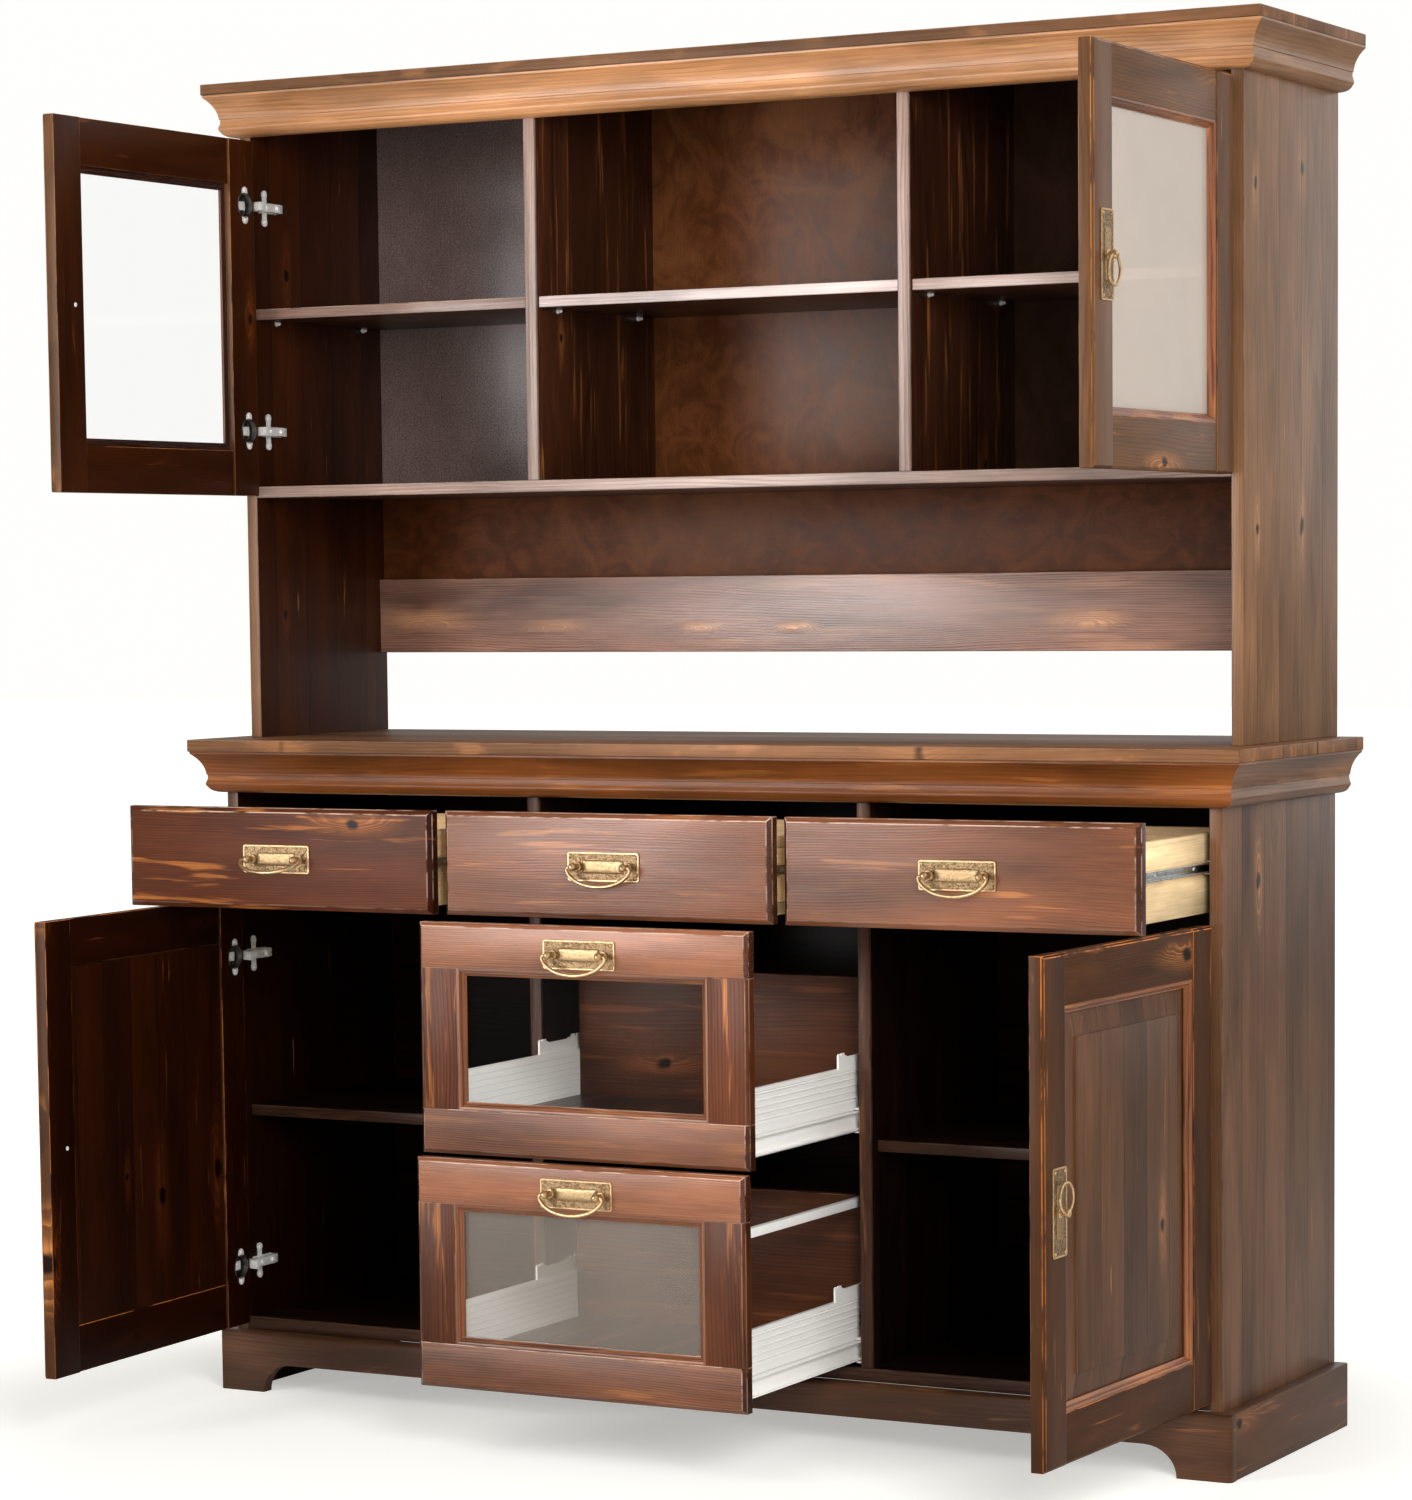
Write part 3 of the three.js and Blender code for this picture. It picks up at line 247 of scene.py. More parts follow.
class Stock:
    """Parts that make up one piece. Every part keeps the run of its own grain, which faces are arrises,
    and which faces are darkened: painted shade on those that look the way given when the stock is made, and the real
    darker stain of end grain."""

    def __init__(self, name, place=None, shade_and_end_grain=None):
        self.name, self.place, self.hidden = name, place or Matrix.Identity(4), Vector(shade_and_end_grain or (0, 0, 0))
        self.corners, self.faces, self.grain, self.arris, self.shade_and_end_grain = [], [], [], [], []
        self.chance = random.Random(name)

    def take(self, shape, run="z", arrises=None, end_stain=0.0):
        """Adds a bmesh. The grain runs along the axis run, and the widest other way counts as its side.
        End grain drinks more stain, by the share end_stain."""
        spans = [[f([v.co[i] for v in shape.verts]) for f in (min, max)] for i in range(3)]
        lengthwise = "xyz".index(run)
        wide = sorted(range(3), key=lambda i: (i != lengthwise, spans[i][0] - spans[i][1]))
        offset = [self.chance.uniform(-40, 40), self.chance.uniform(-40, 40), 0.0]
        shape.normal_update()
        shape.verts.index_update()
        start = len(self.corners)
        for v in shape.verts:
            self.corners.append(self.place @ v.co)
            self.grain.append([v.co[i] - sum(spans[i]) / 2 + offset[k] for k, i in enumerate(wide)])
        for face in shape.faces:
            around = [start + v.index for v in face.verts]
            self.faces.append(around[::-1] if self.place.determinant() < 0 else around)
            self.arris.append((arrises or {}).get(face, 0.0))
            is_end = abs(face.normal[lengthwise]) > 0.6
            # Faces that look the shaded way get full painted shade; end faces get their share of real end-grain
            # stain.
            self.shade_and_end_grain.append(1.0 if face.normal.dot(self.hidden) > 0.9 else end_stain * is_end)
        shape.free()
        return self

    def plank(self, one, other, run="z", ease=0.0013):
        """A squared board between two opposite corners, with eased edges."""
        low, high = zip(*map(sorted, zip(one, other)))
        shape = bmesh.new()
        bmesh.ops.create_cube(shape, size=1.0)
        for v in shape.verts:
            v.co = [a + (c + 0.5) * (b - a) for a, b, c in zip(low, high, v.co)]
        return self.take(shape, run, eased(shape, shape.edges[:], ease))

    def piece(self, body, slot, finish, *nodes):
        """Ends the piece: its mesh, its finish, what it moves with and which solids it stands for."""
        mesh = bpy.data.meshes.new(self.name)
        mesh.from_pydata(self.corners, [], self.faces)
        grain = mesh.attributes.new("grain", "FLOAT_VECTOR", "POINT")
        grain.data.foreach_set("vector", [value for triple in self.grain for value in triple])
        mesh.attributes.new("arris", "FLOAT", "FACE").data.foreach_set("value", self.arris)
        mesh.attributes.new("shade_and_end_grain", "FLOAT", "FACE").data.foreach_set("value", self.shade_and_end_grain)
        mesh.polygons.foreach_set("use_smooth", [True] * len(mesh.polygons))
        settle(mesh, 32, body, slot, finish, *nodes)


def settle(mesh, crease, body, slot, finish, *nodes):
    """Puts a finished mesh into the scene, with edges sharp from crease degrees on."""
    mesh.set_sharp_from_angle(angle=math.radians(crease))
    obj = bpy.data.objects.new(mesh.name, mesh)
    mesh.materials.clear()
    mesh.materials.append(finish.material)
    bpy.context.scene.collection.objects.link(obj)
    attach(obj, body)
    if nodes:
        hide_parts(*nodes)


def board(node, finish, run, span=None, deep=None, slot="carcass_pine", lip=None, shade_and_end_grain=None):
    """A whole board in the place of its solid, unless span or deep makes it narrower from side to side or
    from front to back. Its front may carry a lip."""
    (x0, y0, z0), (x1, y1, z1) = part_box(node)
    x0, x1 = span or (x0, x1)
    y1 = y0 + deep if deep else y1
    if lip:
        Stock(node + "_lip").plank((x0, y0, z0), (x1, y0 + lip_depth, z1), run).piece("carcass", slot, lip, node)
        y0 += lip_depth
    whole = Stock(node + "_board", None, shade_and_end_grain).plank((x0, y0, z0), (x1, y1, z1), run)
    whole.piece("carcass", slot, finish, node)


def outer_side(node, face, finish):
    """A side board, thinner than its solid, which also holds runners and pins. Its inner face gets painted shade."""
    low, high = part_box(node)
    span = (high.x - side_board, high.x) if face > 0 else (low.x, low.x + side_board)
    board(node, finish, "z", span, shade_and_end_grain=(-face, 0, 0))


lip_depth, side_board, back_skin = 0.004, 0.0175, 0.0015
base_inner, base_partition = 0.738, (0.24245, 0.25995)
# The base's front lips are dark copies of the panel stain, the lower ones darkest: painted shade under the drawers.
lip_pine = pine("lip_pine", (0.06, 0.025, 0.014), (0.03, 0.011, 0.006), (0.3, 0.12, 0.04), (0.3, 0.17, 0.11),
                rub_and_highlight=0.4, specular=0.15)
low_lip_pine = pine("low_lip_pine", (0.05, 0.021, 0.011), (0.022, 0.009, 0.005), (0.2, 0.08, 0.03),
                    (0.2, 0.11, 0.07), rub_and_highlight=0.4, specular=0.15)
panel_wood = dict(stave=0.078, streaks=0.9, streak=(9, 110), knots=0.4, rub_and_highlight=0.4, lines=0.4, sparse=0.66,
                  growth=0.0044)
panel_pine = pine("panel_pine", (0.115, 0.052, 0.025), (0.062, 0.026, 0.012), (0.46, 0.2, 0.08), (0.42, 0.24, 0.15),
                  **panel_wood, specular=0.26, hidden=(0.07, 0.035, 0.02))
# Inside boards are a near-black copy of the panel stain: painted shade.
inside_pine = pine("inside_pine", (0.04, 0.012, 0.005), (0.012, 0.004, 0.002), (0.3, 0.1, 0.025), (0.3, 0.17, 0.12),
                   stave=0.085, streaks=0.9, streak=(3, 55), knots=0.45)
# The base's partitions, bottom, back and shelves are a near-black copy of the stain: painted shade for the bays.
cupboard_pine = pine("cupboard_pine", (0.009, 0.0035, 0.002), (0.003, 0.0015, 0.001), (0.03, 0.01, 0.004),
                     (0.2, 0.11, 0.07), stave=0.085, streaks=0.4, streak=(3, 55), sheen=0.7, specular=0.06)
outer_side("base_side_left", -1, panel_pine)
outer_side("base_side_right", 1, panel_pine)
for node, face in (("base_partition_left", -1), ("base_partition_right", 1)):
    board(node, cupboard_pine, "z", [face * x for x in base_partition], lip=lip_pine)
board("base_back", cupboard_pine, "x", deep=back_skin, slot="stained_plywood")
for node in ("base_bottom", "base_shelf_left", "base_shelf_right"):
    board(node, cupboard_pine, "x", lip=low_lip_pine)

# Worktop: a pine panel with its staves running from side to side, its front edge eased,
# screwed down from below on the base and standing out past the moulding.
top_pine = pine("top_pine", (0.18, 0.08, 0.035), (0.09, 0.036, 0.016), (0.42, 0.18, 0.07), (0.4, 0.24, 0.15),
                stave=0.09, streaks=0.7, streak=(7, 80), knots=0.35, sheen=0.5, lines=0.5, specular=0.18)
board("worktop", top_pine, "x")


# Mouldings: one planed profile of fillet, cove and bead, in a lighter stain, glued under the worktop
# and under the cornice board, and mitred at both front corners. Their fronts and returns take lit and shaded
# copies of that stain: painted sheen and painted shade.
def skin(rings, closed=False):
    """A bmesh over a row of rings with equal point counts, with flat ends unless the row closes on itself."""
    shape = bmesh.new()
    rows = [[shape.verts.new(point) for point in ring] for ring in rings]
    count = len(rows[0])
    for here, there in zip(rows, rows[1:] + (rows[:1] if closed else [])):
        for i in range(count):
            shape.faces.new((here[i], here[(i + 1) % count], there[(i + 1) % count], there[i]))
    if not closed:
        shape.faces.new(rows[0][::-1])
        shape.faces.new(rows[-1])
    bmesh.ops.recalc_face_normals(shape, faces=shape.faces[:])
    return shape


def curve(start, pull, end, steps):
    """Points of a quadratic curve after its start."""
    places = [(i + 1) / steps for i in range(steps)]
    return [[(1 - t) ** 2 * a + 2 * t * (1 - t) * b + t * t * c for a, b, c in zip(start, pull, end)] for t in places]


# Copies of one moulding stain, set lighter or darker by face: the worktop front is dark with painted shade under the
# worktop, its returns greyer with painted sheen, the cornice front bright with painted sheen, and its returns darker
# with painted shade.
moulding_pine = pine("moulding_pine", (0.18, 0.054, 0.013), (0.07, 0.02, 0.005), (0.44, 0.16, 0.038),
                     (0.5, 0.28, 0.15), streaks=0.6, knots=0.5, sheen=0.32, lines=0.45, specular=0.22)
return_pine = pine("return_pine", (0.17, 0.075, 0.034), (0.07, 0.028, 0.013), (0.4, 0.19, 0.08), (0.4, 0.27, 0.19),
                   knots=0.4, sheen=0.34, lines=0.6)
cornice_pine = pine("cornice_pine", (0.47, 0.215, 0.088), (0.22, 0.085, 0.032), (0.62, 0.32, 0.12),
                    (0.6, 0.4, 0.27), knots=0.5, sheen=0.3, lines=0.5)
cornice_end_pine = pine("cornice_end_pine", (0.25, 0.125, 0.06), (0.12, 0.055, 0.026), (0.5, 0.26, 0.11),
                        (0.5, 0.33, 0.22), sheen=0.34, lines=0.5)
moulding_out, moulding_drop = 0.0375, 0.0585
planed = [[0, 0], [1, 0], [1, 0.05]] + curve([1, 0.05], [0.63, 0.24], [0.56, 0.52], 9)
planed += [[0.56, 0.56], [0.52, 0.57], [0.52, 0.66]] + curve([0.52, 0.7], [0.64, 0.78], [0.52, 0.86], 6)
planed += curve([0.52, 0.86], [0.42, 1], [0, 1], 6)
for name, half, depth, top, finish, end_finish in (
    ("worktop", 0.7555, 0.403, 0.913, moulding_pine, return_pine),
    ("cornice", 0.7583, 0.3353, 1.835, cornice_pine, cornice_end_pine),
):
    stations = []
    for sign, mitred in ((-1, 0), (-1, 1), (1, 1), (1, 0)):
        reaches = [(out * moulding_out, top - down * moulding_drop) for out, down in planed]
        stations.append([(sign * (half + out), back_plane - mitred * (depth + out), z) for out, z in reaches])
    front_strip, returns = Stock(name + "_moulding_front"), Stock(name + "_moulding_returns")
    front_strip.take(skin(stations[1:3]), "x").piece("carcass", "moulding_pine", finish, name + "_moulding")
    returns.take(skin(stations[:2]), "y").take(skin(stations[2:]), "y")
    returns.piece("carcass", "moulding_pine", end_finish, name + "_moulding")


# Plinth: a front board with a shallow arch that leaves a foot at each end, its corners rounded over,
# and two side boards behind it, screwed round the foot of the base.
def stacked(levels):
    """A bmesh through (outline, y) pairs: an outline is a row of (x, z), standing at its own depth."""
    return skin([[(x, y, z) for x, z in outline] for outline, y in levels])


plinth_low, plinth_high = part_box("plinth")
plinth_face, plinth_side, plinth_top = plinth_low.y, plinth_high.x, plinth_high.z
foot_width, arch_rise, arch_end, plinth_board, touch = 0.0744, 0.041, 0.045, 0.0186, 1e-5
plinth_rear = plinth_face + plinth_board
arch_foot = plinth_side - foot_width - arch_end
sweep = [math.pi * i / 16 for i in range(9)]
arch = [(arch_foot + arch_end * math.cos(a), arch_rise * math.sin(a)) for a in sweep]
outline = [(-plinth_side, 0)] + [(-x, z) for x, z in arch] + arch[::-1]
outline += [(plinth_side, 0), (plinth_side, plinth_top), (-plinth_side, plinth_top)]
shape = stacked([(outline, plinth_face), (outline, plinth_rear)])
front_corners = [e for e in shape.edges if all(
    abs(v.co.x) > plinth_side - touch and v.co.y < plinth_face + touch for v in e.verts)]
eased(shape, front_corners, 0.007, 5, 0.5)
top_edges = [e for e in shape.edges if all(
    v.co.z > plinth_top - touch and v.co.y < plinth_rear - 10 * touch for v in e.verts)]
plinth_boards = Stock("plinth_boards").take(shape, "x", eased(shape, top_edges, 0.003, 3))
for sign in (-1, 1):
    near, far = (sign * plinth_side, plinth_rear, 0), (sign * (plinth_side - plinth_board), back_plane, plinth_top)
    plinth_boards.plank(near, far, "y", 0.0022)
plinth_pine = pine("plinth_pine", (0.075, 0.031, 0.014), (0.036, 0.015, 0.007), (0.34, 0.13, 0.045),
                   (0.2, 0.1, 0.05), streaks=0.7, streak=(6, 70), rub_and_highlight=0.3, sheen=0.4, lines=0.5,
                   specular=0.2, sparse=0.62)
plinth_boards.piece("carcass", "carcass_pine", plinth_pine, "plinth")

# Hutch: two sides that stand on the worktop, two partitions, a bottom, three loose shelves and the cornice
# board, of the same panels as the base. Its inside is darker with painted shade, its front edges are paler with
# painted sheen, and its sides are a lighter copy of the base panels, painted light.
hutch_inner, hutch_partition = 0.7408, (0.27465, 0.29215)
edge_wood = dict(streaks=0.3, knots=0.0)
# The front lips are pale, greyish copies of one stain, each as light as the sheen it stands in for: painted sheen,
# strongest on the middle shelf.
edge_pine = pine("edge_pine", (0.32, 0.215, 0.175), (0.16, 0.1, 0.078), (0.45, 0.27, 0.18), (0.52, 0.39, 0.33),
                 **edge_wood, rub_and_highlight=0.6, sheen=0.28)
pale_edge_pine = pine("pale_edge_pine", (0.53, 0.42, 0.39), (0.28, 0.2, 0.175), (0.6, 0.42, 0.31),
                      (0.68, 0.56, 0.51), **edge_wood, rub_and_highlight=0.6, sheen=0.28)
upright_edge_pine = pine("upright_edge_pine", (0.27, 0.175, 0.14), (0.14, 0.085, 0.066), (0.4, 0.24, 0.16),
                         (0.45, 0.32, 0.26), **edge_wood, sheen=0.3)
brown_edge_pine = pine("brown_edge_pine", (0.2, 0.115, 0.085), (0.1, 0.055, 0.04), (0.4, 0.22, 0.13),
                       (0.5, 0.36, 0.29), **edge_wood, rub_and_highlight=0.8, sheen=0.3)
# The hutch sides take a lighter copy of the base panel stain: painted light, as the hutch stands in brighter light.
hutch_pine = pine("hutch_pine", (0.2, 0.096, 0.044), (0.1, 0.044, 0.02), (0.55, 0.28, 0.12), (0.42, 0.24, 0.15),
                  **panel_wood, specular=0.3)
outer_side("hutch_side_left", -1, hutch_pine)
outer_side("hutch_side_right", 1, hutch_pine)
for node, face in (("hutch_partition_left", -1), ("hutch_partition_right", 1)):
    board(node, inside_pine, "z", [face * x for x in hutch_partition], lip=upright_edge_pine)
for node, lip in (("hutch_bottom", edge_pine), ("hutch_shelf_left", brown_edge_pine),
                  ("hutch_shelf_middle", pale_edge_pine), ("hutch_shelf_right", edge_pine)):
    board(node, inside_pine, "x", lip=lip)
board("cornice_board", top_pine, "x")


# Hutch back: thin stained plywood with a cloudy, curly face, tacked into the rear edges,
# and below it a thick pine rail with eye-shaped figure that ties the sides together.
def plywood(name, ground, deep, pale, pores, sheen=0.42, specular=0.3, figure=1.0):
    f = Finish(name)
    along, side, _ = f.split(f.mark("grain", "Vector"))
    curl = f.noise((along * 7, side * 9, 1.0), detail=6.0, rough=0.62, swirl=1.6, scale=figure)
    patch = f.noise((along * 3, side * 2.4, 4.0), detail=4.0, rough=0.6, swirl=0.6, scale=figure)
    fleck = f.noise((along * 22, side * 28, 2.0), detail=4.0, rough=0.7, swirl=0.8, scale=figure)
    fibre = f.noise((along * 16, side * 420, 3.0), detail=2.0)
    speckle = f.noise((along * 420, side * 420, 6.0), detail=1.0)
    tone = f.blend(curl.rise(0.36, 0.66), deep, ground)
    tone = f.blend(patch.rise(0.5, 0.68) * 0.6, tone, pale)
    tone = f.blend(fleck.rise(0.6, 0.72) * 0.5, tone, deep)
    tone = f.shade(tone, (0.8 + 0.4 * fibre) * (1.0 + (speckle - 0.5) * pores))
    height = fibre * 0.5 + curl + speckle * pores
    f.dress(Base_Color=tone, Roughness=sheen + 0.15 * curl, Specular_IOR_Level=specular)
    return f.dress(Normal=f.relief(height, 0.0004, 0.3))


# The sheets behind the bays are copies of one plywood: the left one greyer, partly painted sheen over its real gloss,
# and the right one near-black with painted shade.
stained_ply = plywood("stained_ply", (0.16, 0.052, 0.017), (0.095, 0.029, 0.009), (0.24, 0.09, 0.031),
                      pores=0.5, sheen=0.3, specular=0.25, figure=2.2)
smooth_ply = plywood("smooth_ply", (0.225, 0.154, 0.138), (0.195, 0.132, 0.118), (0.25, 0.172, 0.155),
                     pores=2.4, sheen=0.24, specular=0.7, figure=2.0)
strip_ply = plywood("strip_ply", (0.12, 0.035, 0.01), (0.072, 0.02, 0.005), (0.18, 0.062, 0.02),
                    pores=0.5, sheen=0.34, specular=0.18, figure=2.2)
rear_ply = plywood("rear_ply", (0.15, 0.066, 0.03), (0.1, 0.042, 0.019), (0.2, 0.095, 0.046),
                   pores=0.5, sheen=0.6, specular=0.15, figure=1.6)
dark_ply = plywood("dark_ply", (0.05, 0.022, 0.012), (0.028, 0.012, 0.007), (0.08, 0.04, 0.024), pores=0.6)
(x0, y0, z0), (x1, y1, z1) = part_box("hutch_back")
sheet_seam, lower = 0.2834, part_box("hutch_bottom")[0].z
for name, run, left, right, bottom, top, finish in (
    ("left", "z", x0, -sheet_seam, lower, z1, smooth_ply),
    ("middle", "z", -sheet_seam, sheet_seam, lower, z1, stained_ply),
    ("right", "z", sheet_seam, x1, lower, z1, dark_ply),
    ("lower", "x", x0, x1, z0, lower, strip_ply),
):
    sheet = Stock("hutch_back_" + name).plank((left, y0, bottom), (right, y0 + back_skin, top), run, 0.0003)
    sheet.piece("carcass", "stained_plywood", finish, "hutch_back")
for node in ("hutch_back", "base_back"):
    low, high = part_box(node)
    rear = Stock(node + "_rear").plank((low.x, low.y + back_skin, low.z), high, "z", 0.0004)
    rear.piece("carcass", "stained_plywood", rear_ply, node)
rail_middle = sum(corner.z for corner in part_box("hutch_back_rail")) / 2
# The rail's light, greyish ground is partly painted sheen, over the real eye-shaped figure.
rail_pine = pine("rail_pine", (0.29, 0.145, 0.1), (0.1, 0.04, 0.025), (0.95, 0.46, 0.2), (0.5, 0.33, 0.26),
                 streaks=0.2, knots=0.9, sheen=0.3, cores=0.0, specular=0.7, knot_size=0.85,
                 knot_room=(4.4, 8.0), growth=0.0036, eye_level=rail_middle - 0.004)
board("hutch_back_rail", rail_pine, "x", slot="knotty_pine")


# Shelf pins: turned steel pins with a collar, pushed into drilled rows, two under each end of a shelf.
class Pattern(Bench):
    """A geometry tree that sets copies of one thing on points, each turned to its point's own facing."""

    def __init__(self, name, **sizes):
        super().__init__(bpy.data.node_groups.new(name, "GeometryNodeTree"))
        face = self.tree.interface
        face.new_socket("Geometry", in_out="OUTPUT", socket_type="NodeSocketGeometry")
        face.new_socket("Geometry", in_out="INPUT", socket_type="NodeSocketGeometry")
        for size, value in sizes.items():
            face.new_socket(size, in_out="INPUT", socket_type="NodeSocketFloat").default_value = value
        self.sizes = self.tree.nodes.new("NodeGroupInput")

    def size(self, name):
        return Wire(self, self.sizes.outputs[name])

    def rod(self, sides, radius, length):
        return self.add("GeometryNodeMeshCylinder", {"Vertices": sides, "Radius": radius, "Depth": length})

    def ball(self, sides, radius):
        return self.add("GeometryNodeMeshUVSphere", {"Segments": sides, "Rings": 8, "Radius": radius})

    def moved(self, geometry, **places):
        return self.add("GeometryNodeTransform", {"Geometry": geometry, **places})

    def domed(self, sides):
        """A round head flattened by the size Dome."""
        return self.moved(self.ball(sides, self.size("Head")), Scale=self.point(1.0, 1.0, self.size("Dome")))

    def end(self, thing, finish):
        name = {"Name": "facing"}
        facing = self.add("GeometryNodeInputNamedAttribute", name, data_type="FLOAT_VECTOR")
        turned = self.add("FunctionNodeAlignRotationToVector", {"Vector": facing}, axis="Z")
        sockets = {"Points": self.size("Geometry"), "Instance": thing, "Rotation": turned}
        copies = self.add("GeometryNodeInstanceOnPoints", sockets)
        solid = self.add("GeometryNodeRealizeInstances", {0: copies})
        solid = self.add("GeometryNodeSetShadeSmooth", {"Geometry": solid})
        painted = self.add("GeometryNodeSetMaterial", {"Geometry": solid, "Material": finish.material})
        self.tree.links.new(painted.socket, self.tree.nodes.new("NodeGroupOutput").inputs[0])

    def grow(self, name, places, body, slot, finish, **sizes):
        """Runs the tree on (point, facing) pairs and keeps the plain mesh that comes out."""
        seed = bpy.data.meshes.new(name + "_places")
        seed.from_pydata([point for point, _ in places], [], [])
        facings = seed.attributes.new("facing", "FLOAT_VECTOR", "POINT")
        facings.data.foreach_set("vector", [value for _, facing in places for value in facing])
        holder = bpy.data.objects.new(name + "_places", seed)
        bpy.context.scene.collection.objects.link(holder)
        modifier = holder.modifiers.new("pattern", "NODES")
        modifier.node_group = self.tree
        for item in self.tree.interface.items_tree:
            if item.in_out == "INPUT" and item.name in sizes:
                modifier[item.identifier] = sizes[item.name]
        mesh = bpy.data.meshes.new_from_object(holder.evaluated_get(bpy.context.evaluated_depsgraph_get()))
        mesh.name = name
        bpy.data.objects.remove(holder)
        settle(mesh, 40, body, slot, finish)


def metal(name, bright, dull, roughness, clouds, metallic=1.0):
    """Plated or bare metal: slightly uneven in colour and polish, with fine handling marks."""
    f = Finish(name)
    tarnish = f.noise(f.spot(), detail=4.0, rough=0.6, scale=clouds)
    marks = f.noise(f.spot(), detail=2.0, scale=clouds * 9)
    f.dress(Base_Color=f.blend(tarnish.rise(0.4, 0.68), bright, dull), Metallic=metallic)
    f.dress(Roughness=roughness + 0.22 * (tarnish - 0.5) + 0.1 * (marks - 0.5))
    return f.dress(Normal=f.relief(marks, 0.0001, 0.3))


# Its near-white colour, only partly metallic, is partly a painted highlight that stands in for the bright glints of
# plated parts.
nickel = metal("nickel", (1.0, 0.98, 0.95), (0.82, 0.8, 0.76), roughness=0.28, clouds=160, metallic=0.35)
pin_tree = Pattern("shelf pins", Radius=0.0026, Length=0.009, Collar=0.0038)
pin_radius = pin_tree.size("Radius")
pin = pin_tree.add("GeometryNodeJoinGeometry")
for part in (pin_tree.rod(16, pin_radius, pin_tree.size("Length")),
             pin_tree.moved(pin_tree.ball(16, pin_radius), Translation=(0, 0, 0.0045)),
             pin_tree.rod(20, pin_tree.size("Collar"), 0.0014)):
    pin_tree.put(pin.socket.node.inputs[0], part)
pin_tree.end(pin, nickel)
pin_places = []
for node, left, right in (
    ("base_shelf_left", -base_inner, -base_partition[1]), ("base_shelf_right", base_partition[1], base_inner),
    ("hutch_shelf_left", -hutch_inner, -hutch_partition[1]),
    ("hutch_shelf_middle", -hutch_partition[0], hutch_partition[0]),
    ("hutch_shelf_right", hutch_partition[1], hutch_inner),
):
    low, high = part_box(node)
    for face, facing in ((left, 1), (right, -1)):
        for y in (low.y + 0.05, back_plane - 0.055):
            pin_places.append(((face + facing * 0.002, y, low.z - 0.003), (facing, 0, 0)))
pin_tree.grow("shelf_pins", pin_places, "carcass", "nickel_steel", nickel)


# Doors: stiles run the full height with rails between them, each door set in a planed bead;
# the hutch pair hold glass and the base pair a raised panel. Outer arrises are chamfered and rub pale,
# with a painted highlight where they face up and painted shade where they face sideways and down.
def full_turn(steps):
    """Evenly spaced angles once round."""
    return [2 * math.pi * i / steps for i in range(steps)]


def bore(shape, centres, sides=40):
    """Round blind holes for hinge cups in the widest face that looks along +Y."""
    shape.normal_update()
    back = max((f for f in shape.faces if f.normal.y > 0.99), key=lambda f: f.calc_area())
    mouth, loops = back.verts[0].co.y, list(back.edges)
    shape.faces.remove(back)
    for x, z in centres:
        circle = [(x + cup_hole * math.cos(a), z + cup_hole * math.sin(a)) for a in full_turn(sides)]
        upper, lower = [[shape.verts.new((px, y, pz)) for px, pz in circle] for y in (mouth, cup_floor)]
        for i in range(sides):
            shape.faces.new((upper[i], upper[i - 1], lower[i - 1], lower[i]))
            loops.append(shape.edges.get((upper[i], upper[i - 1])))
        shape.faces.new(lower)
    bmesh.ops.triangle_fill(shape, use_beauty=True, use_dissolve=False, edges=loops, normal=(0, 1, 0))
    bmesh.ops.recalc_face_normals(shape, faces=shape.faces[:])


def corners(low, high, inset=(0, 0, 0, 0)):
    """The (x, z) corners of an upright rectangle, drawn in by inset = (left, right, bottom, top)."""
    x0, x1, z0, z1 = low[0] + inset[0], high[0] - inset[1], low[1] + inset[2], high[1] - inset[3]
    return (x0, z0), (x1, z0), (x1, z1), (x0, z1)


def sharp(shape):
    """The edges between faces that meet at a clear angle."""
    return [e for e in shape.edges if len(e.link_faces) == 2 and e.calc_face_angle() > 0.3]


def slab(stock, low, high, face, back, cut, run, ease=0.0008, holes=(), bold=False):
    """A board facing -Y whose outer edges are chamfered by cut = (left, right, bottom, top). Its sides count
    as arrises where bold is set, and round cup holes may be bored in its back."""
    outline = corners(low, high)
    shape = stacked([(corners(low, high, cut), face), (outline, face + max(cut)), (outline, back)])
    slopes = {f for f in shape.faces if 0.2 < abs(f.normal.y) < 0.97 or (bold and abs(f.normal.x) > 0.97)}
    rounded = eased(shape, sharp(shape), ease)
    # Bold sides count double: twice the painted shade, and more of the pale wear and painted highlight.
    arrises = {f: 2.0 if abs(f.normal.x) > 0.97 else 1.0 for f in slopes if f.is_valid}
    if holes:
        bore(shape, holes)
    return stock.take(shape, run, {**arrises, **rounded}, end_stain=0.85)


def bead(stock, low, high, face):
    """A mitred strip round an opening: a step, a bead, a small quirk and a cove, with its rebate behind."""
    profile = [(0, 0.0015), (0.0012, 0.0015)] + curve((0.0012, 0.0015), (0.0048, 0.0014), (0.0052, 0.0044), 5)
    profile += [(0.0052, 0.0052), (0.006, 0.0052)] + curve((0.006, 0.0052), (0.0074, 0.0076), (0.01, 0.008), 4)
    profile += [(0.01, 0.01), (0, 0.01)]
    rings = [[(x + sx * u, face + d, z + sz * u) for u, d in profile]
             for (x, z), sx, sz in zip(corners(low, high), (1, -1, -1, 1), (1, 1, -1, -1))]
    for i, run in enumerate("xzxz"):
        stock.take(skin([rings[i], rings[(i + 1) % 4]]), run)
    return stock


